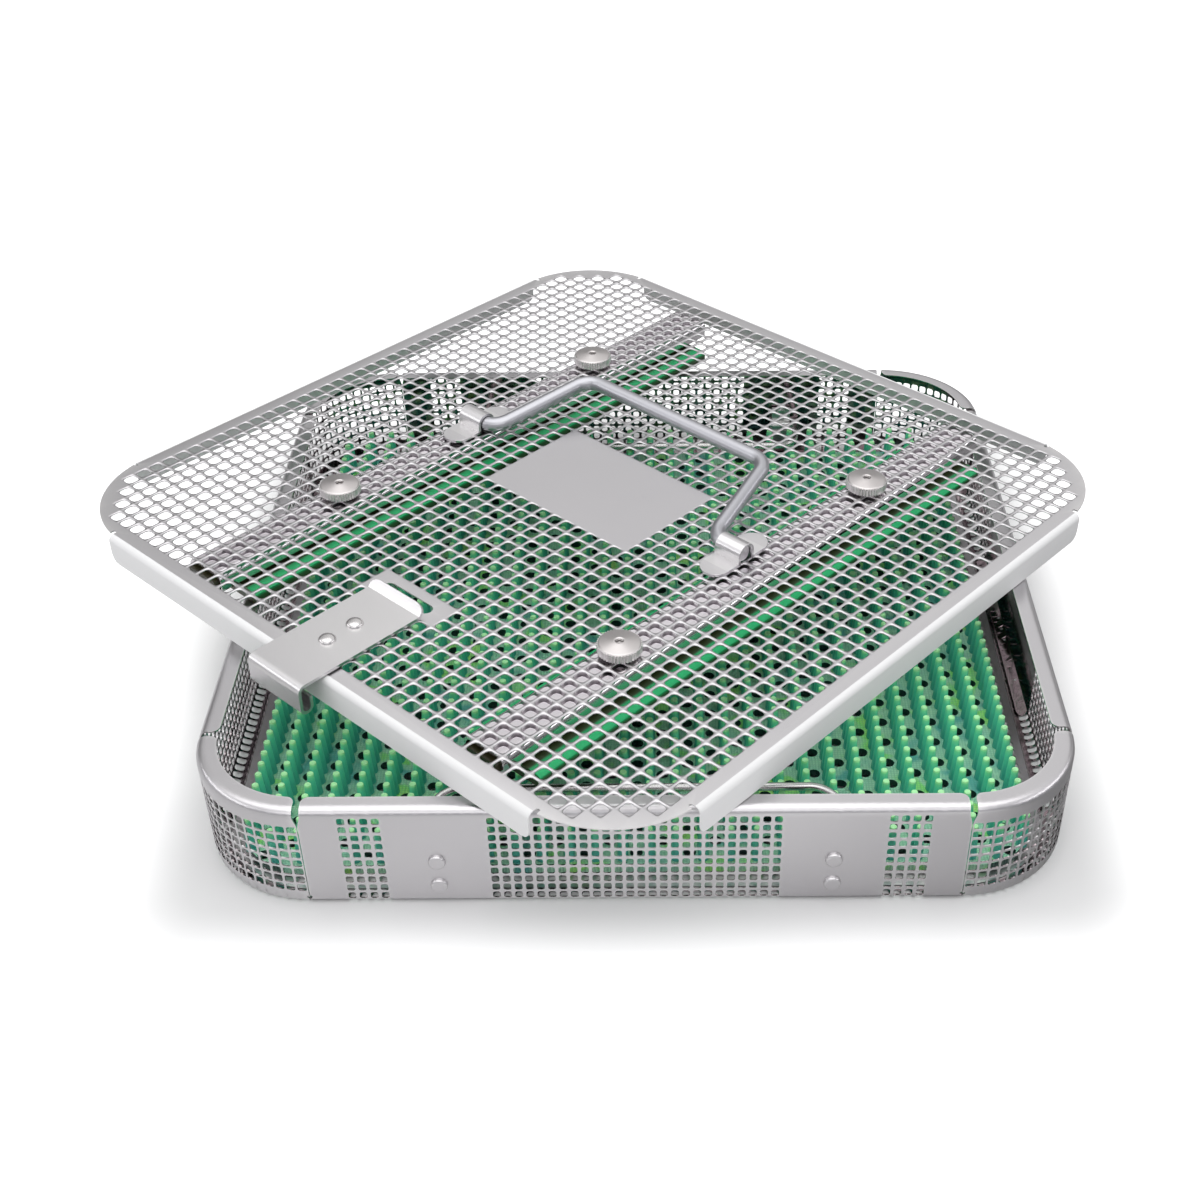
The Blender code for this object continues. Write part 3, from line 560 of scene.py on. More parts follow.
def lined(made, inside_shade_material, middle):
    """Give the faces that look at the middle of the inside another material, the inside's
    painted shading.
    """
    made.data.materials.append(inside_shade_material)
    last = len(made.data.materials) - 1
    for face in made.data.polygons:
        if face.normal.dot(middle(face.center) - face.center) > LINED_DEPTH:
            face.material_index = last
    return made


# %% [markdown]
# ## The basket's walls and corners
# The real basket is one punched sheet, folded up into four walls and four round
# corners, with a flat foot below, a flat rim above, and an open seam where a wall meets
# a corner. A boolean for each of some two thousand holes would be slow. Here each
# sheet is laid out flat as small tiles, either plain or with a window, like
# squared paper: across it goes the length of the wall, and up it goes the way round the
# foot, the wall and the rim. The tree sets the tiles, welds them, rounds the ends of the
# rim at the seams, and wraps the sheet round its bends. Solidify gives it its thickness.

# %% Sizes of the basket
BASKET_HALF = 125.0
BASKET_HEIGHT = 35.0
CORNER_RADIUS = 33.0
SHEET = 1.0
WALL_SHEET = 0.40
LID_SHEET_THICKNESS = 0.42
FOOT_WIDTH = 5.0
RIM_WIDTH = 6.0
BEND_RADIUS = 2.5
SEAM_GAP = 0.25
RIM_END_RADIUS = 2.4
SEAM_OPENING = 0.9
RELIEF_RADIUS = 0.7
WALL_PITCH = 3.135
WALL_COLUMNS = 58
CORNER_PITCH = 3.22
CORNER_COLUMNS = 14
ROW_PITCH = 3.13
ROW_COUNT = 10
LOWEST_ROW_HEIGHT = 3.0
seam_at = BASKET_HALF - CORNER_RADIUS
bend_length = BEND_RADIUS * math.pi / 2
foot_flat = FOOT_WIDTH - BEND_RADIUS
rows_start = foot_flat + bend_length + LOWEST_ROW_HEIGHT - BEND_RADIUS - ROW_PITCH / 2
rim_bend_start = foot_flat + bend_length + BASKET_HEIGHT - 2 * BEND_RADIUS
rim_start = rim_bend_start + bend_length
sheet_width = rim_start + RIM_WIDTH - BEND_RADIUS
print("the wall's sheet is", round(sheet_width, 2), "mm wide before it is bent")

# %% The tree that punches and bends a sheet


def tile(tree, hole):
    """A flat tile of 1 by 1: its edge in twelve points, around a hole if there is one."""
    edge = tree.put('GeometryNodeResampleCurve', {"Curve": rectangle(tree, 1.0, 1.0),
                                                  "Count": 12})
    return filled(joined(edge, hole)) if hole else filled(edge, 'NGONS')


def build_punched_sheet():
    """Tiles on points, welded, rounded at the rim's ends, and wrapped round the bends."""
    tree, sizes = geometry_tree("punched_sheet", {
        "Window width": 0.70, "Window height": 0.77, "Window corner": 0.2,
        "Slot width": 0.72, "Slot height": 0.90,
        "Half length": 91.8, "Rim end radius": RIM_END_RADIUS, "Sheet width": sheet_width,
        "Foot flat": foot_flat, "Bend radius": BEND_RADIUS, "Straight": 30.0,
        "Seam opening": SEAM_OPENING, "Relief radius": RELIEF_RADIUS,
        "Turn radius": CORNER_RADIUS, "Round a corner": False})
    window, slot = [rounded_window(sizes, sizes[f"{kind} width"], sizes[f"{kind} height"],
                                   sizes["Window corner"], 2) for kind in ("Window", "Slot")]
    kind, wide, tall = [attribute(sizes, name) for name in ("kind", "wide", "tall")]
    scale = sizes.vector(wide, tall, 1.0)
    sheet = joined(*[on_points(sizes["Geometry"], tile(sizes, hole), Scale=scale,
                               Selection=kind.near(float(number), 0.1))
                     for number, hole in enumerate((None, window, slot))])
    half, radius, bend = sizes["Half length"], sizes["Rim end radius"], sizes["Bend radius"]
    along, up, _ = position(sizes)
    side, reach = along.step('SIGN'), abs(along)

    # The seam opens towards the rim, with a round relief notch at the foot's bend.
    rise = up.mapped(rim_bend_start - 3.5, rim_bend_start + 0.5, 0.0,
                     sizes["Seam opening"], **SMOOTH)
    relief, from_relief = sizes["Relief radius"], up - (foot_flat + bend_length)
    notch = (relief * relief - from_relief * from_relief).at_least(0.0).root()
    reach = reach - reach.mapped(half - 4.0, half) * rise.at_least(notch)

    # The rim's two ends are rounded by pulling their corners in.
    over = (reach - (half - rise - radius)).at_least(0.0)
    above = (up - (sizes["Sheet width"] - radius)).at_least(0.0)
    far = (over * over + above * above).root()
    pull = 1.0 - (radius / far.at_least(0.001)).at_most(1.0)
    along = side * (reach - over * pull)
    up = up - above * pull

    # The way round the section: foot, bend, wall, bend, rim.
    quarter = bend * (math.pi / 2)
    after_foot = sizes["Foot flat"] + quarter
    after_wall = after_foot + sizes["Straight"]

    def stretch(start, length):
        """How far up has come along one stretch of the section."""
        return (up - start).at_least(0.0).at_most(length)

    low = stretch(sizes["Foot flat"], quarter) / bend
    high = stretch(after_wall, quarter) / bend
    inward = (sizes["Foot flat"] + bend - stretch(0.0, sizes["Foot flat"])
              - bend * low.sine() + bend * (1.0 - high.cosine())
              + stretch(after_wall + quarter, 100.0))
    height = (stretch(after_foot, sizes["Straight"]) + bend * (1.0 - low.cosine())
              + bend * high.sine())
    angle = along / sizes["Turn radius"] + math.pi / 4
    arm = sizes["Turn radius"] - inward
    place = sizes.put('GeometryNodeSwitch', {
        "Switch": sizes["Round a corner"], "False": sizes.vector(along, inward, height),
        "True": sizes.vector(arm * angle.cosine(), arm * angle.sine(), height)},
        input_type='VECTOR')
    return end_tree(tree, sizes, sizes.put('GeometryNodeSetPosition', {
        "Geometry": welded(sheet), "Position": place}))


PUNCHED_SHEET = build_punched_sheet()
print(PUNCHED_SHEET.name, "has", len(PUNCHED_SHEET.nodes), "nodes")

# %% [markdown]
# Each sheet needs to know which of its tiles are punched. The front and back walls are plain
# where the drop handles are riveted on, the left wall is punched all along, and the right wall
# is plain in its middle. On the corners the top and bottom rows stay plain. The faces that
# look inwards get the inside's material, with its painted shade and painted reflection.

# %% Lay out and bend the walls and corners
PLAIN, WINDOW, SLOT = 0, 1, 2
WALL_INSIDE = 14.0
CORNER_INSIDE = 0.6


def even_steps(first, last, count, kind=PLAIN):
    """Rows of tiles in equal steps: where each starts and ends, and its kind."""
    step = (last - first) / count
    return [(first + index * step, first + (index + 1) * step, kind)
            for index in range(count)]


def section_rows(plain_rows):
    """The rows of tiles from the foot to the rim, with some punched rows left plain."""
    rows = [(0.0, 1.4, PLAIN), (1.4, rows_start, SLOT)]
    for row in range(ROW_COUNT):
        low = rows_start + row * ROW_PITCH
        rows.append((low, low + ROW_PITCH, PLAIN if row in plain_rows else WINDOW))
    return (rows + even_steps(rows[-1][1], rim_start, 5)
            + even_steps(rim_start, sheet_width, 3))


def tile_points(name, half_length, pitch, count, column_is_open, plain_rows=()):
    """One point for each tile, with its kind, width and height."""
    start = -count / 2 * pitch
    columns = [(-half_length, start)]
    columns += [(start + index * pitch, start + (index + 1) * pitch) for index in range(count)]
    columns.append((-start, half_length))
    places, kinds, widths, heights = [], [], [], []
    for left, right in columns:
        middle = (left + right) / 2
        open_here = right - left > pitch * 0.99 and column_is_open(middle)
        for low, high, kind in section_rows(plain_rows):
            places.append((middle, (low + high) / 2, 0.0))
            kinds.append(float(kind if open_here else PLAIN))
            widths.append(right - left)
            heights.append(high - low)
    return points_mesh(name, places, kind=kinds, wide=widths, tall=heights)


def beside_handle(s):
    """Whether a column of the front or back wall is punched."""
    return abs(s) < 41 or 68.6 < abs(s) < 81.5


wall_half = seam_at - SEAM_GAP / 2
corner_half = CORNER_RADIUS * math.pi / 4 - SEAM_GAP / 2
open_columns = {"front": beside_handle, "right": lambda s: 42.7 < abs(s) < 88,
                "back": beside_handle, "left": lambda s: abs(s) < 88}
for number, (side, column_is_open) in enumerate(open_columns.items()):
    points = tile_points(side, wall_half, WALL_PITCH, WALL_COLUMNS, column_is_open)
    sheet = grow(f"{side}_wall_sheet", PUNCHED_SHEET, SATIN, points, {
        "Half length": wall_half,
        "Window width": 0.70 if column_is_open == beside_handle else 0.75}, WALL_SHEET)
    lined(sheet, INSIDE_PAINTED_SHADE, lambda spot: Vector((spot.x, WALL_INSIDE, BASKET_HEIGHT / 2)))
    finished(sheet, "basket", [f"wall_{side}"],
             quarters(number) @ at(y=-BASKET_HALF))
for number, side in enumerate(("back_right", "back_left", "front_left", "front_right")):
    points = tile_points(side, corner_half, CORNER_PITCH, CORNER_COLUMNS,
                         lambda s: True, (0, ROW_COUNT - 1))
    sheet = grow(f"{side}_corner_sheet", PUNCHED_SHEET, SATIN, points, {
        "Half length": corner_half, "Round a corner": True, "Window width": 0.80,
        "Window height": 0.82}, WALL_SHEET)
    lined(sheet, INSIDE_PAINTED_SHADE, lambda spot: Vector((spot.x * CORNER_INSIDE, spot.y * CORNER_INSIDE,
                                              BASKET_HEIGHT / 2)))
    finished(sheet, "basket", [f"corner_{side}"],
             quarters(number) @ at(seam_at, seam_at))

# %% [markdown]
# ## Flat sheets with many holes: the floor and the lid
# The lid is one flat sheet with nearly two thousand rounded square holes in a square
# lattice, plain patches for the name field, the latch and the finger slot, and a narrow
# plain border. Filling one outline round all those holes at once is slow, so the work is
# shared: a small square tile with its hole goes on each open point of the lattice, and
# Fill Curve only closes what is left, between the outline and the edge of the tiled
# field and inside the plain patches.

# %% The tree that tiles a lattice and fills the rest
LID_PITCH = 5.227


def build_lattice_sheet(name, zones, soft_edges):
    """A sheet with a square lattice of holes, but none in the plain zones or corners.

    Its top is at Z = 0. With soft edges the holes get a small slope at the top, as a
    punch leaves it, which catches the light.
    """
    tree, sizes = geometry_tree(name, {
        "Pitch": LID_PITCH, "Holes across": 46, "Hole": 4.20, "Hole corner": 1.2,
        "Corner steps": 2, "Corner limit": 220.0, "Thickness": LID_SHEET_THICKNESS,
        "Slope width": 0.16, "Slope depth": 0.205})
    pitch, across, hole_size = sizes["Pitch"], sizes["Holes across"], sizes["Hole"]
    span = pitch * (across - 1.0)
    grid = sizes.put('GeometryNodeMeshGrid', {
        "Size X": span, "Size Y": span, "Vertices X": across, "Vertices Y": across})
    x, y, _ = position(sizes)
    clear = sizes["Corner limit"] - (abs(x) + abs(y))
    for (middle_x, middle_y), (half_x, half_y) in zones:
        clear = clear.at_most((abs(x - middle_x) - half_x).at_least(
            abs(y - middle_y) - half_y))
    chosen = clear > 0.0
    cell = rectangle(sizes, pitch, pitch)
    hole = rounded_window(sizes, hole_size, hole_size, sizes["Hole corner"],
                          sizes["Corner steps"])
    to_bottom = sizes.vector(z=-sizes["Thickness"])

    def lowered(shape):
        """The same faces turned over at the bottom of the sheet."""
        return flipped(moved(shape, Translation=to_bottom))

    def spread(shape):
        """One instance on each open point of the lattice, welded together."""
        return welded(on_points(grid, shape, Selection=chosen))

    bottom = filled(joined(cell, hole))
    if soft_edges:
        wider = sizes["Slope width"] * 2.0 + hole_size
        share = hole_size / wider
        rim = rounded_window(sizes, wider, wider, sizes["Hole corner"] / share,
                             sizes["Corner steps"])
        slope = extruded(sizes.put('GeometryNodeCurveToMesh', {0: rim}))
        x, y, _ = position(sizes)
        pulled = sizes.put('GeometryNodeSetPosition', {
            "Geometry": slope, "Selection": slope["Top"],
            "Position": sizes.vector(x * share, y * share, -sizes["Slope depth"])})
        lip = extruded(pulled, sizes.vector(z=sizes["Slope depth"] - sizes["Thickness"]),
                       Selection=slope["Top"])
        tile_shape = joined(filled(joined(cell, rim)), lip, lowered(bottom))
    else:
        lip = extruded(sizes.put('GeometryNodeCurveToMesh', {0: hole}), to_bottom)
        tile_shape = joined(bottom, lip, lowered(bottom))
    faces_at_edge = sizes.put('GeometryNodeInputMeshEdgeNeighbors')
    field_edge = outline_of(spread(filled(cell, 'NGONS')),
                            Selection=faces_at_edge.near(1.0, 0.1))
    rest = filled(joined(outline_of(sizes["Geometry"]), field_edge))
    side = extruded(sizes["Geometry"], to_bottom)
    return end_tree(tree, sizes, welded(joined(
        spread(welded(tile_shape, FINE_WELD)), rest, lowered(rest), side)))


def loops_mesh(name, loops):
    """Closed loops of points as a mesh of edges only."""
    places, edges = [], []
    for loop in loops:
        first = len(places)
        places += [(*point, 0.0) for point in loop]
        edges += [(first + index, first + (index + 1) % len(loop))
                  for index in range(len(loop))]
    return points_mesh(name, places, edges)


def arc(centre, radius, start, sweep, steps):
    """Points on a circle's arc, angles in radians."""
    angles = [start + sweep * step / steps for step in range(steps + 1)]
    return [Vector((centre[0] + math.cos(angle) * radius,
                    centre[1] + math.sin(angle) * radius)) for angle in angles]


def rounded_square(half, radius, steps=10):
    """The outline of a square with round corners."""
    outline = []
    for quarter in range(4):
        centre = quarters(quarter, 3) @ Vector((half - radius, half - radius, 0))
        outline += arc(centre, radius, math.pi / 2 * quarter, math.pi / 2, steps)
    return outline


# %% [markdown]
# The floor lies inside the walls' foot. Its holes are smaller and have no slopes,
# because the mat hides them nearly everywhere.

# %% The basket's floor
FLOOR_HALF = 119.8
FLOOR_CORNER = 27.8
FLOOR_PITCH = 3.42
FLOOR_HOLE = 2.35
FLOOR_TOP = 0.6
floor = grow("floor_sheet", build_lattice_sheet("floor_sheet", [], False), SATIN,
             loops_mesh("floor", [rounded_square(FLOOR_HALF, FLOOR_CORNER)]), {
                 "Pitch": FLOOR_PITCH, "Holes across": 69, "Hole": FLOOR_HOLE,
                 "Hole corner": 0.5, "Corner steps": 1,
                 "Corner limit": 2 * FLOOR_HALF - FLOOR_CORNER * 0.9})
outwards(floor)
finished(floor, "basket", ["basket_floor"], at(z=FLOOR_TOP))

# %% [markdown]
# ## The lid plate
# The lid's outline has four long fold lines and four round corners. At each end of a
# fold line a small notch lets the flange bend down cleanly. The flat sheet is grown by
# the same kind of tree, and the flanges are then pulled out of its four fold edges by
# hand, because they have no holes.

# %% Sizes of the lid
LID_HALF = 126.5
LID_BEND = 2.0
LID_FLANGE_DEPTH = 9.5
LID_FLANGE_HALF = 94.5
LID_CORNER_HALF = 125.0
LID_CORNER_RADIUS = 34.0
fold_line = LID_HALF - LID_BEND
BAR_ROWS = {"left": 11.5 * LID_PITCH, "right": -12.5 * LID_PITCH}
NUT_PLACES = {f"{label}_{end}": (across * LID_PITCH, row)
              for label, row in BAR_ROWS.items()
              for end, across in (("near", -11.5), ("far", 11.5))}
LATCH_RIVETS = (-115.1, -104.7)
FINGER_SLOT_X = -84.3
PLAIN_ZONES = [((0.0, 0.0), (22.5, 30.5)), ((-104.0, 0.0), (22.5, 11.0)),
               ((FINGER_SLOT_X, 0.0), (5.0, 13.5))]
print("stud places on the lid:", {key: (round(a, 1), round(b, 1))
                                  for key, (a, b) in NUT_PLACES.items()})

# %% Grow the lid's sheet and fold its flanges
NOTCH = [(0.0, 0.0), (-1.2, 0.1), (-1.5, 0.75), (-1.2, 1.4)]


def slot_loop(first, last, half_width, steps=8):
    """A slot with round ends between two points."""
    way = (Vector(last) - Vector(first)).angle_signed(Vector((1, 0)))
    return (arc(first, half_width, way + math.pi / 2, math.pi, steps)
            + arc(last, half_width, way - math.pi / 2, math.pi, steps))


def lid_outline():
    """The flat outline, quarter by quarter: fold line, notch, round corner, notch."""
    reach = LID_CORNER_HALF - LID_CORNER_RADIUS
    start = math.asin((LID_FLANGE_HALF + 1.5 - reach) / LID_CORNER_RADIUS)
    notch = [Vector((fold_line + depth, LID_FLANGE_HALF + way)) for depth, way in NOTCH]
    side = [Vector((fold_line, -LID_FLANGE_HALF))] + notch
    side += arc((reach, reach), LID_CORNER_RADIUS, start, math.pi / 2 - 2 * start, 16)
    side += [point.yx for point in notch[:0:-1]]
    return [(quarters(quarter, 3) @ point.to_3d()).xy
            for quarter in range(4) for point in side]


def fold_flanges(made, thickness):
    """Pull a rounded flange out of each of the four fold edges of a solid flat sheet."""
    shape = bmesh.new()
    shape.from_mesh(made.data)
    section = []
    for step in range(1, 9):
        angle = math.pi / 2 * step / 8
        section.append([(math.sin(angle) * radius, math.cos(angle) * radius - LID_BEND,
                         LID_FLANGE_HALF) for radius in (LID_BEND, LID_BEND - thickness)])
    for lift, inset in ((3.0, 0.0), (1.3, 0.5), (0.4, 1.4), (0.0, 3.0)):
        section.append([(out, lift - LID_FLANGE_DEPTH, LID_FLANGE_HALF - inset)
                        for out in (LID_BEND, LID_BEND - thickness)])
    for quarter in range(4):
        turn = quarters(quarter, 3)

        def corner(side, down):
            """The sheet's own vertex at one end of this fold line."""
            spot = turn @ Vector((fold_line, side * LID_FLANGE_HALF, down))
            return min(shape.verts, key=lambda vert: (vert.co - spot).length)

        ring = [corner(-1, 0), corner(1, 0), corner(1, -thickness), corner(-1, -thickness)]
        for face in list(shape.edges.get(ring[:2]).link_faces):
            if ring[3] in face.verts:
                shape.faces.remove(face)
        for outer, inner in section:
            after = [shape.verts.new(turn @ Vector((fold_line + out, side * half, down)))
                     for side, (out, down, half) in ((-1, outer), (1, outer), (1, inner),
                                                     (-1, inner))]
            for index in range(4):
                beyond = (index + 1) % 4
                shape.faces.new((ring[index], after[index], after[beyond], ring[beyond]))
            ring = after
        shape.faces.new(ring)
    shape.to_mesh(made.data)
    shape.free()
    outwards(made)


lid_loops = [lid_outline(),
             slot_loop((LATCH_RIVETS[0] - 0.3, 0), (LATCH_RIVETS[1] + 4.3, 0), 1.8),
             slot_loop((FINGER_SLOT_X, -8.2), (FINGER_SLOT_X, 8.2), 2.3)]
lid_sheet = grow("lid_sheet", build_lattice_sheet("lid_sheet", PLAIN_ZONES, True), SATIN,
                 loops_mesh("lid", lid_loops), {"Corner limit": 42.0 * LID_PITCH + 0.1})
fold_flanges(lid_sheet, LID_SHEET_THICKNESS)
finished(lid_sheet, "lid", ["lid_plate"], LID, 50.0)

# %% [markdown]
# ## Bent strips of sheet
# The hold-down bars, the handle's saddle brackets, the drop handles' clips and the latch
# are all strips of sheet with a few bends. One helper rounds the bends of a path, sweeps
# it to a width, and gives it thickness and small softened edges.

# %% Helpers for bent strips and wires
SOFT_EDGE = 0.12
FLAT_GUARD = 0.15


def rounded(corners, radii, steps=6):
    """Round the inner corners of an open path."""
    corners = [Vector(corner) for corner in corners]
    out = [corners[0]]
    for before, here, after, radius in zip(corners, corners[1:], corners[2:], radii):
        if radius <= 0:
            out.append(here)
            continue
        back, ahead = (before - here).normalized(), (after - here).normalized()
        half = back.angle(ahead) / 2
        reach = radius / math.tan(half)
        centre = here + (back + ahead).normalized() * (radius / math.sin(half))
        first, last = here + back * reach - centre, here + ahead * reach - centre
        sweep = first.angle(last)
        for step in range(steps + 1):
            share = step / steps
            out.append(centre + (first * math.sin((1 - share) * sweep)
                                 + last * math.sin(share * sweep)) / math.sin(sweep))
    return out + [corners[-1]]


def guarded(path, halves):
    """Add a point close to both ends of each long straight piece, so that it stays flat."""
    out, widths = [path[0]], [halves[0]]
    for first, last, start, end in zip(path, path[1:], halves, halves[1:]):
        length = (last - first).length
        if length > 4 * FLAT_GUARD:
            for share in (FLAT_GUARD / length, 1 - FLAT_GUARD / length):
                out.append(first.lerp(last, share))
                widths.append(start + (end - start) * share)
        out.append(last)
        widths.append(end)
    return out, widths


def bent_strip(name, path, along, halves, thickness, material):
    """A path swept both ways along an axis, made into sheet with softened edges."""
    path, halves = guarded(path, halves)
    shape = bmesh.new()
    rails = [[shape.verts.new(point + Vector(along) * side * half)
              for point, half in zip(path, halves)] for side in (-1, 1)]
    for index in range(len(path) - 1):
        shape.faces.new((rails[0][index], rails[0][index + 1],
                         rails[1][index + 1], rails[1][index]))
    made = to_object(name, shape, material)
    thicken(made, abs(thickness), 1.0 if thickness > 0 else -1.0)
    step = made.modifiers.new("soft edges", 'BEVEL')
    step.width, step.segments = SOFT_EDGE, 1
    step.angle_limit = math.radians(40)
    step.use_clamp_overlap = True
    return baked(made)


def wire(name, path, radius, material, sides):
    """A bent round wire with flat ends."""
    curve = bpy.data.curves.new(name, 'CURVE')
    curve.dimensions = '3D'
    curve.bevel_depth = radius
    curve.bevel_resolution = sides // 2 - 2
    curve.use_fill_caps = True
    line = curve.splines.new('POLY')
    line.points.add(len(path) - 1)
    for point, place in zip(line.points, path):
        point.co = (*place, 1.0)
    made = baked(linked(name, curve))
    shape = bmesh.new()
    shape.from_mesh(made.data)
    bmesh.ops.remove_doubles(shape, verts=shape.verts, dist=1e-4)
    bmesh.ops.recalc_face_normals(shape, faces=shape.faces)
    shape.to_mesh(made.data)
    shape.free()
    made.data.materials.clear()
    made.data.materials.append(material)
    return made


# %% [markdown]
# ## Hold-down bars and silicone strips
# Under the lid, two channel-shaped bars press long silicone strips onto the instruments. A
# strip has a head that sits in the channel, a narrower body, and a wide foot. From above they
# are seen only through the lid's holes, so their silhouettes are enough: a bent strip for the
# bar, and two swept sections for the silicone. The third number of each point of a section is
# how much painted shade the silicone gets there: the head, the foot's inner part next to the
# bar, its outer edge and its underside are painted dark olive, where the bar shades them, and
# the lit top of the foot stays vivid green.

# %% Bars and strips
BAR_WIDTH = 15.7
BAR_LEG = 5.9
BAR_HALF_LENGTH = 115.0
BAR_TOP = -1.1
BAR_BEND = 2.7
STRIP_OVERHANG = 1.5
STRIP_FOOT_INSET = 7.5
# Third numbers: painted shade, 0 on the lit top of the foot, 1 where the bar shades the strip.
STRIP_HEAD = [(6.1, -3.2, 1.0), (6.5, -3.6, 1.0), (6.5, -6.6, 1.0), (5.0, -7.0, 1.0),
              (5.0, -9.4, 1.0)]
STRIP_FOOT = [(5.5, -8.4, 1.0), (9.5, -8.44, 0.95), (10.3, -8.46, 0.3), (13.3, -8.6, 0.0),
              (14.3, -9.2, 0.15), (14.5, -10.0, 0.85), (14.5, -11.8, 1.0),
              (13.3, -13.0, 1.0)]


def swept_section(shape, right_half, half_length):
    """Sweep a closed section both ways along X, given by its right half from the top."""
    outline = right_half + [(-y, z, dark) for y, z, dark in right_half[::-1]]
    # Each point's third number is kept as its painted shade, for the strip's material.
    painted_shade = shape.verts.layers.float.get("painted_shade") or shape.verts.layers.float.new("painted_shade")
    ends = [[shape.verts.new((side * half_length, y, z)) for y, z, _ in outline]
            for side in (-1, 1)]
    for end in ends:
        for vert, (_, _, dark) in zip(end, outline):
            vert[painted_shade] = dark
    for index in range(len(outline)):
        after = (index + 1) % len(outline)
        shape.faces.new((ends[0][index], ends[0][after], ends[1][after], ends[1][index]))
    shape.faces.new(ends[0][::-1])
    shape.faces.new(ends[1])


for label, row in BAR_ROWS.items():
    half, foot = BAR_WIDTH / 2, BAR_TOP - BAR_LEG
    channel = rounded([(0, -half, foot), (0, -half, BAR_TOP), (0, half, BAR_TOP),
                       (0, half, foot)], (BAR_BEND, BAR_BEND), 8)
    there = LID @ at(y=row)
    bar = bent_strip(f"{label}_bar_channel", channel, (1, 0, 0),
                     [BAR_HALF_LENGTH] * len(channel), SHEET, POLISHED)
    finished(bar, "lid", [f"hold_down_bar_{label}"], there)
    shape = bmesh.new()
    swept_section(shape, STRIP_HEAD, BAR_HALF_LENGTH + STRIP_OVERHANG)
    swept_section(shape, STRIP_FOOT, BAR_HALF_LENGTH - STRIP_FOOT_INSET)
    bmesh.ops.recalc_face_normals(shape, faces=shape.faces)
    strip = to_object(f"{label}_hold_down_strip", shape, STRIP_GREEN)
    finished(strip, "lid", [f"silicone_strip_{label}"], there)

# %% [markdown]
# ## Studs and thumb nuts
# A threaded stud comes up through each bar and the lid, and a knurled thumb nut holds
# it. The nut is a turned part: a knurled rim, a shallow cone on top and a collar below.
# The profile is spun into a solid of revolution, and a tree sets a ring of small ridges
# round its rim.

# %% Turned parts
NUT_RADIUS = 6.7
NUT_RIDGES = 44
rim = NUT_RADIUS - 0.3
NUT_PROFILE = [(4.6, 0.05), (4.6, 0.6), (rim - 0.35, 0.6), (rim, 0.75), (rim, 3.25),
               (rim - 0.05, 3.35), (rim - 0.3, 3.6), (rim - 0.5, 3.68), (1.9, 4.2),
               (1.6, 4.3), (1.35, 4.25), (1.15, 4.05), (1.15, 3.4), (2.08, 3.35),
               (2.08, 0.05)]
STUD_PROFILE = [(0, 3.2), (1.6, 3.2), (2.0, 2.8), (2.0, -2.12), (3.4, -2.12),
                (3.4, -3.0), (0, -3.0)]


def turned(profile, sides):
    """A profile of radius and height, spun about Z into a closed bmesh."""
    shape = bmesh.new()
    rings = []
    for radius, height in profile:
        angles = [2 * math.pi * side / sides for side in range(sides if radius else 1)]
        rings.append([shape.verts.new((math.cos(angle) * radius, math.sin(angle) * radius,
                                       height)) for angle in angles])
    pairs = list(zip(rings, rings[1:]))
    if profile[0][0] and profile[-1][0]:
        pairs.append((rings[-1], rings[0]))
    for low, high in pairs:
        for side in range(sides):
            after = (side + 1) % sides
            corners = dict.fromkeys((low[side % len(low)], low[after % len(low)],
                                     high[after % len(high)], high[side % len(high)]))
            shape.faces.new(list(corners))
    bmesh.ops.recalc_face_normals(shape, faces=shape.faces)
    ring = shape.verts.layers.float.new("ring")
    for vert in shape.verts:
        vert[ring] = vert.co.xy.length
    return shape


def build_knurl():
    """Small upright ridges in a ring, joined to the turned body that is fed in."""
    tree, sizes = geometry_tree("knurl_ring", {
        "Ridges": NUT_RIDGES, "Radius": NUT_RADIUS - 0.34, "Bottom": 0.7, "Height": 2.6,
        "Depth": 0.40})
    ring = sizes.put('GeometryNodeMeshCircle', {"Vertices": sizes["Ridges"],
                                                "Radius": sizes["Radius"]})
    angle = sizes.put('GeometryNodeInputIndex') * (2 * math.pi) / sizes["Ridges"]
    ridge = sizes.put('GeometryNodeMeshCone', {
        "Vertices": 4, "Radius Top": sizes["Depth"], "Radius Bottom": sizes["Depth"],
        "Depth": sizes["Height"]})
    raised = moved(ridge, Translation=sizes.vector(z=sizes["Bottom"]))
    ridges = on_points(ring, raised, Rotation=sizes.vector(z=angle))
    return end_tree(tree, sizes, joined(sizes["Geometry"], ridges))


KNURL = build_knurl()
for label, (x, y) in NUT_PLACES.items():
    there = LID @ at(x, y)
    stud = to_object(f"{label}_stud", turned(STUD_PROFILE, 32), BRIGHT)
    finished(stud, "lid", [f"bar_stud_{label}"], there)
    body = to_object(f"{label}_thumb_nut", turned(NUT_PROFILE, 64), TURNED)
    nut = grow(f"{label}_nut", KNURL, TURNED, body.data)
    bpy.data.objects.remove(body, do_unlink=True)
    finished(nut, f"nut_{label}", [f"thumb_nut_{label}"], there)

# %% [markdown]
# ## The lid handle and its brackets
# The handle is one bent steel rod. Its two ends turn in saddle brackets: short straps
# bent over the rod and spot-welded to the lid by their round tabs. At rest the handle
# leans up by ten degrees.

# %% Handle and brackets
HANDLE_RADIUS = 2.5
HANDLE_REST_ANGLE = math.radians(10.0)
HANDLE_PATH = [(0, -62.5, 0), (0, -49.5, 0), (38.5, -40.5, 0), (38.5, 40.5, 0),
               (0, 49.5, 0), (0, 62.5, 0)]
HANDLE_BEND = 7.0
BRACKET_Y = 58.5
BRACKET_HALF = 5.0
BRACKET_TAB = 14.0
BRACKET_LIFT = 0.02
TAB_STEPS = 5


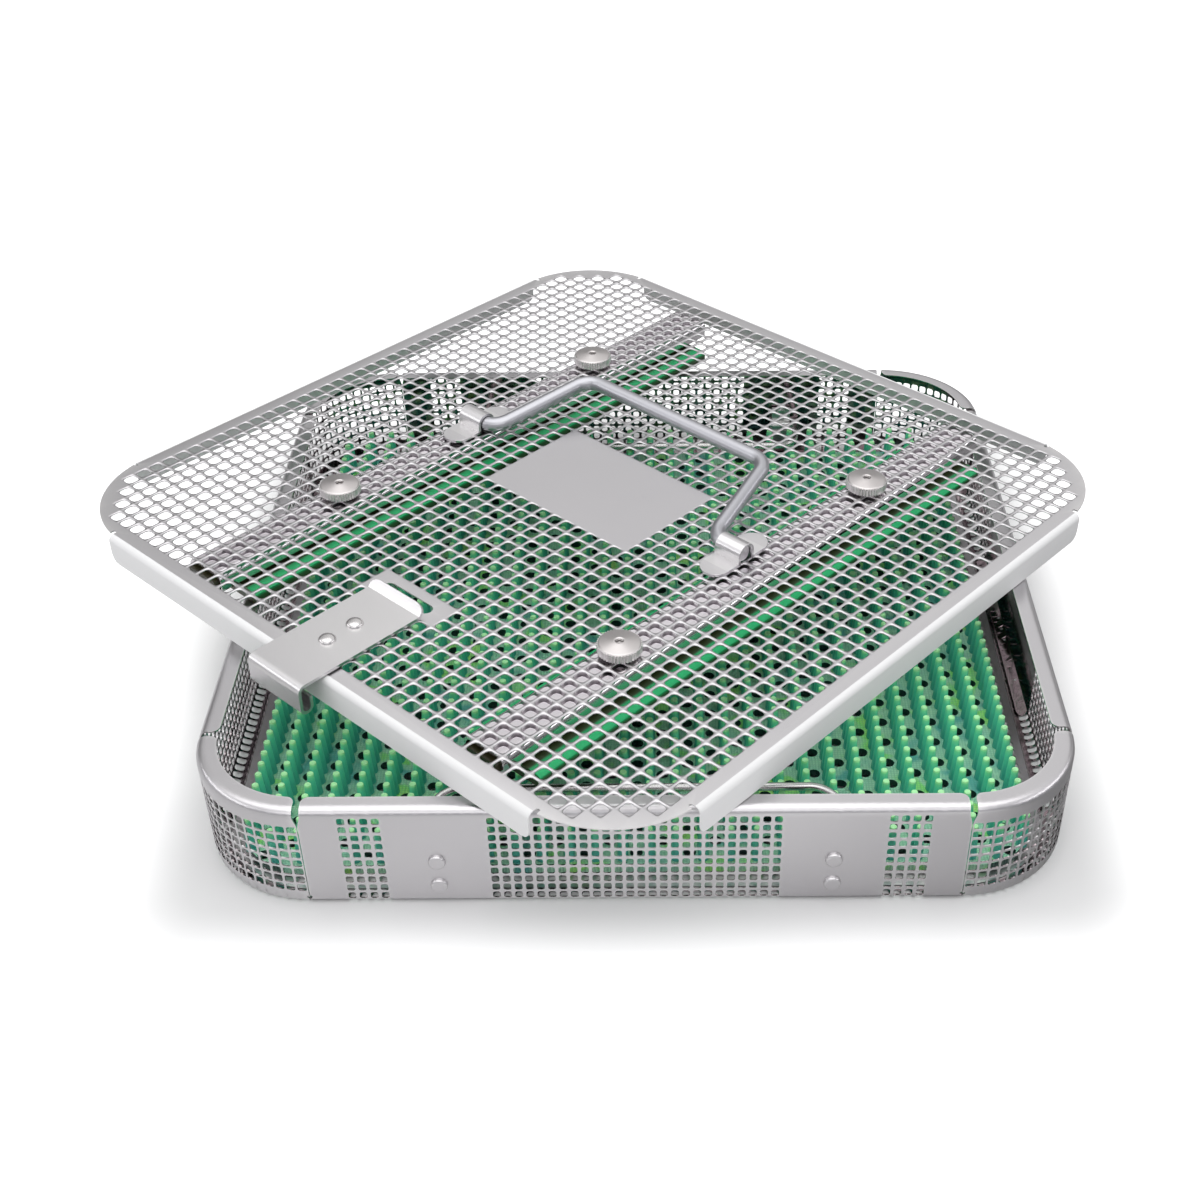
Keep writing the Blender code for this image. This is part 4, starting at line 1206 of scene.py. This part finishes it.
def tab_path(arch):
    """Add points near both ends of a bracket's path, so that its tabs can be rounded."""
    angles = [math.pi / 2 * step / TAB_STEPS for step in range(TAB_STEPS + 1)]
    shares = [Vector((BRACKET_HALF * (1 - math.cos(angle)), 0, 0)) for angle in angles]
    widths = [max(BRACKET_HALF * math.sin(angle), 0.35) for angle in angles]
    path = ([arch[0] + share for share in shares] + arch[1:-1]
            + [arch[-1] - share for share in shares[::-1]])
    return path, widths + [BRACKET_HALF] * (len(arch) - 2) + widths[::-1]


bore = HANDLE_RADIUS + 0.2
for label, side in (("left", 1), ("right", -1)):
    arch = [(-BRACKET_TAB, 0, 0), (-bore, 0, 0), (-bore, 0, HANDLE_AXIS_HEIGHT + bore),
            (bore, 0, HANDLE_AXIS_HEIGHT + bore), (bore, 0, 0), (BRACKET_TAB, 0, 0)]
    path, halves = tab_path(rounded(arch, (0, bore * 0.97, bore * 0.97, 0)))
    bracket = bent_strip(f"{label}_saddle_bracket", path, (0, 1, 0), halves, SHEET, SATIN)
    finished(bracket, "lid", [f"handle_bracket_{label}"],
             LID @ at(0, side * BRACKET_Y, BRACKET_LIFT))
handle = wire("lid_rod_handle", rounded(HANDLE_PATH, (HANDLE_BEND,) * 4, 10),
              HANDLE_RADIUS, ROD, 28)
finished(handle, "lid_handle", ["lid_handle"],
         LID @ at(z=HANDLE_AXIS_HEIGHT) @ Matrix.Rotation(-HANDLE_REST_ANGLE, 4, 'Y'))

# %% [markdown]
# ## The sliding latch
# The latch is a strip of sheet that slides on two rivets. Its outer end is a hook that
# catches under the basket's rim, and its inner end is a thumb tab, bent up. The tab's
# corners are rounded by a few narrower points at its tip.

# %% Latch plate
LATCH_HALF = 11.5
LATCH_LIFT = 0.5
LATCH_INNER = -89.2
LATCH_OUTER = -134.4
HOOK_GAP = 2.6
HOOK_DEPTH = 7.8
HOOK_LIP = -3.5
TAB_TIP = [(0.0, 8.3), (0.12, 9.9), (0.3, 10.9), (0.55, LATCH_HALF)]
path = rounded([(LATCH_INNER + 2.7, 0, LATCH_LIFT + 3.0), (LATCH_INNER, 0, LATCH_LIFT),
                (LATCH_OUTER, 0, LATCH_LIFT), (LATCH_OUTER, 0, -HOOK_DEPTH),
                (LATCH_OUTER + HOOK_GAP, 0, -HOOK_DEPTH),
                (LATCH_OUTER + HOOK_GAP, 0, HOOK_LIP)],
               (0.8, 1.5, HOOK_GAP * 0.48, HOOK_GAP * 0.48))
halves = [width for _, width in TAB_TIP] + [LATCH_HALF] * (len(path) - 1)
path = [path[0].lerp(path[1], share) for share, _ in TAB_TIP] + path[1:]
latch = bent_strip("latch_plate_sheet", path, (0, 1, 0), halves, -SHEET, SATIN)
finished(latch, "latch", ["latch_plate"], LID)

# %% [markdown]
# ## Rivets
# Small domed rivets hold the latch and the clips of the drop handles. One tree sets a
# turned rivet on every point that it is given, turned the way each point says, so one
# object holds all rivets of a body.

# %% Rivets by Geometry Nodes
CLIP_X = 55.0
PIVOT_HEIGHT = 11.5
RIVET_SPREAD = 4.5


def build_rivets():
    """One turned rivet on each point, laid over by the point's own angles."""
    tree, sizes = geometry_tree("rivet_row", {
        "Head": 2.5, "Dome": 1.1, "Shank": 1.5, "Grip": 1.86, "Foot": 2.0,
        "Foot height": 0.6, "Flatness": 12.0})
    dome = sizes.put('GeometryNodeMeshUVSphere', {"Segments": 24, "Rings": 16,
                                                  "Radius": 1.0})
    cap = sizes.put('GeometryNodeDeleteGeometry', {0: dome,
                                                   "Selection": position(sizes)[2] < -0.001})
    x, y, z = position(sizes)
    far = (1.0 - abs(z) ** 2.0).at_least(0.0).root()
    flat = (1.0 - far ** sizes["Flatness"]).at_least(0.0) ** 0.5
    flattened = sizes.put('GeometryNodeSetPosition', {"Geometry": cap,
                                                      "Position": sizes.vector(x, y, flat)})
    head = moved(flattened, Scale=sizes.vector(sizes["Head"], sizes["Head"], sizes["Dome"]))

    def disc(radius, low_end, height):
        """One cylinder of the rivet, standing on low_end."""
        part = sizes.put('GeometryNodeMeshCylinder', {"Vertices": 24, "Radius": radius,
                                                      "Depth": height})
        middle = height * 0.5 + low_end
        return moved(part, Translation=sizes.vector(z=middle))

    grip, foot = sizes["Grip"], sizes["Foot height"]
    rivet = joined(head, disc(sizes["Head"], 0.0, 0.02), disc(sizes["Shank"], -grip, grip),
                   disc(sizes["Foot"], -grip - foot, foot))
    return end_tree(tree, sizes, on_points(
        sizes["Geometry"], rivet, Rotation=attribute(sizes, "turn", 'FLOAT_VECTOR')))


RIVETS = build_rivets()
places, turns, names = [], [], []
for tag, side in (("front", -1), ("back", 1)):
    for end, label in ((-1, "a"), (1, "b")):
        for lift, spot in ((-1, "low"), (1, "top")):
            places.append((end * CLIP_X, side * BASKET_HALF,
                           PIVOT_HEIGHT + lift * RIVET_SPREAD))
            turns.append((-side * math.pi / 2, 0, 0))
            names.append(f"rivet_{tag}_{label}_{spot}")
rivets = grow("drop_handle_rivets", RIVETS, SATIN,
              points_mesh("rivets", places, turn=turns))
finished(rivets, "basket", names)
for spot, across in zip(("outer", "inner"), LATCH_RIVETS):
    points = points_mesh(spot, [(across, 0, LATCH_LIFT + SHEET)], turn=[(0, 0, 0)])
    rivet = grow(f"latch_{spot}_rivet", RIVETS, BRIGHT, points, {
        "Head": 2.7, "Dome": 1.4, "Grip": LATCH_LIFT + 2 * SHEET + 0.1, "Foot": 3.4,
        "Foot height": 0.8, "Flatness": 3.2})
    finished(rivet, "latch", [f"latch_rivet_{spot}"], LID)

# %% [markdown]
# ## Drop handles inside the front and back walls
# Each is a folded loop of thin wire, held by two small saddle clips that are riveted
# through the wall. The loop lies inwards, nearly flat, under the lid.

# %% Clips and wire loops
BAIL_RADIUS = 1.25
BAIL_REACH = 26.8
BAIL_HALF = 61.5
BAIL_FAR_HALF = 58.0
BAIL_REST_ANGLE = math.radians(13.2)
CLIP_CLEARANCE = 0.15
CLIP_HALF = 3.5
CLIP_SHEET = 0.8
CLIP_TAB = 7.2
bore = BAIL_RADIUS + CLIP_CLEARANCE
pin = CLIP_X - CLIP_HALF - CLIP_SHEET
for number, tag in enumerate(("front", "back")):
    there = quarters(2 * number) @ at(y=-BASKET_HALF)
    for end, label in ((-1, "a"), (1, "b")):
        path = rounded([(0, 0.02, -CLIP_TAB), (0, 0.02, -bore), (0, bore * 2, -bore),
                        (0, bore * 2, bore), (0, 0.02, bore), (0, 0.02, CLIP_TAB)],
                       (0, bore * 0.96, bore * 0.96, 0), 5)
        clip = bent_strip(f"{tag}_clip_{label}", path, (1, 0, 0), [CLIP_HALF] * len(path),
                          CLIP_SHEET, SATIN)
        finished(clip, "basket", [f"bail_clip_{tag}_{label}"],
                 there @ at(end * CLIP_X, SHEET, PIVOT_HEIGHT))
    path = rounded([(-pin, 0, 0), (-BAIL_HALF, 0, 0), (-BAIL_FAR_HALF, BAIL_REACH, 0),
                    (BAIL_FAR_HALF, BAIL_REACH, 0), (BAIL_HALF, 0, 0), (pin, 0, 0)],
                   (2.0, 9.0, 9.0, 2.0), 8)
    loop = wire(f"{tag}_drop_handle", path, BAIL_RADIUS, BRIGHT, 16)
    finished(loop, f"{tag}_bail", [f"bail_{tag}"],
             there @ at(0, SHEET + bore, PIVOT_HEIGHT)
             @ Matrix.Rotation(BAIL_REST_ANGLE, 4, 'X'))

# %% [markdown]
# ## The finger mat
# Instruments lie on the tips of more than a thousand soft fingers. A tree makes the
# base with its drain holes and sets a finger on every point of a grid. Each finger has
# few faces, because there are so many of them.

# %% Finger mat
MAT_HALF = 115.0
MAT_CORNER = 18.0
MAT_BOTTOM = 1.2
MAT_BASE = 2.5
FINGER_HEIGHT = 12.0
FINGER_FOOT = 1.7


def build_mat():
    """A base sheet with staggered drain holes, and a grid of tapered fingers on it."""
    tree, sizes = geometry_tree("finger_mat", {
        "Columns": 30, "Column pitch": 7.69, "Rows": 47, "Row pitch": 4.85,
        "Finger radius": 1.0, "Finger height": FINGER_HEIGHT, "Base": MAT_BASE,
        "Drain radius": 1.9, "Corner limit": 2 * MAT_HALF - MAT_CORNER * 0.62,
        "Finger sides": 10})

    def grid(columns, rows):
        """Points in columns and rows, and whether they are clear of the round corners."""
        points = sizes.put('GeometryNodeMeshGrid', {
            "Size X": sizes["Column pitch"] * (columns - 1.0),
            "Size Y": sizes["Row pitch"] * (rows - 1.0),
            "Vertices X": columns, "Vertices Y": rows})
        x, y, _ = position(sizes)
        return points, abs(x) + abs(y) < sizes["Corner limit"]

    points, chosen = grid(sizes["Columns"], sizes["Rows"])
    foot = sizes.put('GeometryNodeMeshCircle', {
        "Vertices": sizes["Finger sides"], "Radius": sizes["Finger radius"] * FINGER_FOOT},
        fill_type='NGON')
    stem, top = foot, True
    for rise, shrink in ((sizes["Finger height"] - 0.25, 0.62), (0.3, 0.90), (-0.15, 0.70)):
        up = sizes.put('GeometryNodeExtrudeMesh', {
            "Mesh": stem, "Selection": top, "Offset Scale": rise, "Individual": False})
        top = up["Top"]
        stem = sizes.put('GeometryNodeScaleElements', {0: up, "Selection": top,
                                                       "Scale": shrink})
    finger = welded(joined(stem, flipped(foot)), FINE_WELD)
    raised = moved(finger, Translation=sizes.vector(z=sizes["Base"] - 0.05))
    fingers = on_points(points, raised, Selection=chosen)

    columns, rows = sizes["Columns"] - 1.0, sizes["Rows"] - 1.0
    drains, chosen = grid(columns, rows)
    number = sizes.put('GeometryNodeInputIndex')
    column = ((number + 0.5) / rows).step('FLOOR')
    row = number - column * rows
    staggered = (column + row + 0.5) % 2.0 < 1.0
    hole = sizes.put('GeometryNodeCurvePrimitiveCircle', {"Resolution": 12,
                                                          "Radius": sizes["Drain radius"]})
    holes = on_points(drains, hole, Selection=staggered * chosen)
    flat = filled(joined(outline_of(sizes["Geometry"]),
                         sizes.put('GeometryNodeRealizeInstances', {0: holes})))
    thick = sizes.put('GeometryNodeExtrudeMesh', {
        "Mesh": flat, "Offset Scale": sizes["Base"], "Individual": False})
    solid = welded(joined(flipped(flat), thick), FINE_WELD)
    return end_tree(tree, sizes, joined(solid, fingers))


mat = grow("silicone_finger_mat", build_mat(), MAT_GREEN,
           loops_mesh("mat", [rounded_square(MAT_HALF, MAT_CORNER)]))
finished(mat, "basket", ["finger_mat"], at(z=MAT_BOTTOM))

# %% [markdown]
# ## Floor, light and camera
# The basket stands on a plain white table in soft studio light. White that the camera sees
# comes from the floor's and the world's colour for camera rays, not from stronger lamps; the
# floor's glow fades out near the basket, a painted shadow that adds to the real one. What
# steel mirrors is set apart from it: a table with painted shade, darker to the right, and a
# room with a pale far wall. The camera was solved from the basket's known square, so the
# render lines up with the photograph.

# %% Studio
SHADOW_START, SHADOW_END = 0.006, 0.042
SHADOW_HALF = 0.120
TABLE_GLOW = 0.6


def greys(*stops):
    """Stops of a ramp in greys."""
    return [(place, (level,) * 3) for place, level in stops]


def studio_floor():
    """A large white floor: a glow for camera rays that fades near the basket, a painted shadow
    added to the real one, and painted shading for reflections, darker to the right.
    """
    shape = bmesh.new()
    bmesh.ops.create_grid(shape, x_segments=1, y_segments=1, size=4.0)
    white, tree, shader = new_material("white_table")
    for_camera = tree.put('ShaderNodeLightPath')["Is Camera Ray"]
    x, y, _ = tree.put('ShaderNodeTexCoord')["Object"].parts()
    # Painted shade on the table, seen only in reflections: darker to the right.
    mirrored_tone = (y * 0.9 + x).mapped(-0.30, 0.40).ramp(
        *greys((0.0, 0.58), (0.25, 0.78), (0.50, 0.24), (1.0, 0.20)))
    mirrored_tone = y.mapped(0.12, 0.20).mix(mirrored_tone, (0.62,) * 3)
    # Painted shadow: the glow fades out near the basket's footprint.
    gap_x, gap_y = [(abs(side) - SHADOW_HALF).at_least(0.0) for side in (x, y)]
    away = (gap_x * gap_x + gap_y * gap_y).root()
    glow = away.mapped(SHADOW_START, SHADOW_END, **SMOOTH) * TABLE_GLOW * for_camera
    feed(shader, {
        "Roughness": 0.9, "Specular IOR Level": 0.0, "Emission Strength": 1.0,
        "Base Color": for_camera.mix(mirrored_tone, (0.70,) * 3),
        "Emission Color": tree.put('ShaderNodeCombineColor', {0: glow, 1: glow, 2: glow})})
    made = to_object("table", shape, white)
    return made


def studio_world():
    """White for the camera; for light and reflections a soft room with a pale far wall."""
    world = bpy.data.worlds.new("studio")
    bpy.context.scene.world = world
    world.use_nodes = True
    room = world.node_tree.nodes["Background"]
    x, y, z = Wire(room).put('ShaderNodeTexCoord')["Generated"].parts()
    far_wall = z.ramp(*greys((0.0, 0.36), (0.30, 0.32), (0.42, 0.38), (0.47, 0.72),
                             (0.53, 1.08), (0.60, 0.93), (0.68, 0.80), (0.82, 0.84),
                             (1.0, 0.80)))
    left = x.mapped(-0.24, -0.10, 0.64, **SMOOTH)
    near_room = z.ramp((0.0, (0.38, 0.38, 0.40)), (0.36, (0.40, 0.40, 0.42)),
                       (0.56, (0.78, 0.78, 0.80)), (1.0, (0.80, 0.80, 0.80)))
    level = y.mapped(0.25, 0.50, **SMOOTH).mix(near_room, left.mix((0.0,) * 3, far_wall))
    for_camera = z.put('ShaderNodeLightPath')["Is Camera Ray"]
    feed(room, {"Color": for_camera.mix(level, (1.0,) * 3)})


def lamp(name, place, aim, wide, tall, level):
    """A soft lamp that looks at a point, lengths in metres, as bright as a wall of level."""
    data = bpy.data.lights.new(name, 'AREA')
    data.shape = 'RECTANGLE'
    data.size, data.size_y = wide, tall
    data.energy = level * math.pi * wide * tall
    made = linked(name, data)
    made.location = place
    made.rotation_euler = (Vector(aim) - Vector(place)).to_track_quat('-Z', 'Y').to_euler()


studio_floor()
studio_world()
lamp("top_softbox", (-0.1, -0.12, 1.4), (0, 0, 0), 2.1, 1.7, 1.05)
lamp("front_softbox", (-0.2, -1.45, 0.80), (0, 0, 0.02), 1.8, 0.60, 0.90)
lamp("left_strip", (-1.25, -0.2, 0.53), (0, 0, 0.03), 1.4, 0.24, 2.1)
lamp("right_strip", (1.25, -0.2, 0.53), (0, 0, 0.03), 1.4, 0.24, 2.1)
scene = bpy.context.scene
scene.view_settings.view_transform = 'Standard'

# %% Camera
PHOTO_SIDE = 1200.0
SENSOR = 36.0
FOCAL_PIXELS = 1692.56
MIDDLE_PIXEL = (656.22, 698.2)
CAMERA_PLACE = (7.24, -461.89, 345.09)
CAMERA_DOWN, CAMERA_TURN, CAMERA_ROLL = 38.856, 0.184, -0.476
lens = bpy.data.cameras.new("photo_camera")
lens.sensor_width = SENSOR
lens.lens = SENSOR * FOCAL_PIXELS / PHOTO_SIDE
lens.shift_x = (PHOTO_SIDE / 2 - MIDDLE_PIXEL[0]) / PHOTO_SIDE
lens.shift_y = (MIDDLE_PIXEL[1] - PHOTO_SIDE / 2) / PHOTO_SIDE
lens.clip_start = 0.01
scene.camera = linked("photo_camera", lens)
scene.camera.matrix_world = at(*Vector(CAMERA_PLACE) * MM)
for angle, axis in ((CAMERA_TURN, 'Z'), (90 - CAMERA_DOWN, 'X'), (CAMERA_ROLL, 'Z')):
    scene.camera.matrix_world @= Matrix.Rotation(math.radians(angle), 4, axis)
print("focal length", round(lens.lens, 2), "mm")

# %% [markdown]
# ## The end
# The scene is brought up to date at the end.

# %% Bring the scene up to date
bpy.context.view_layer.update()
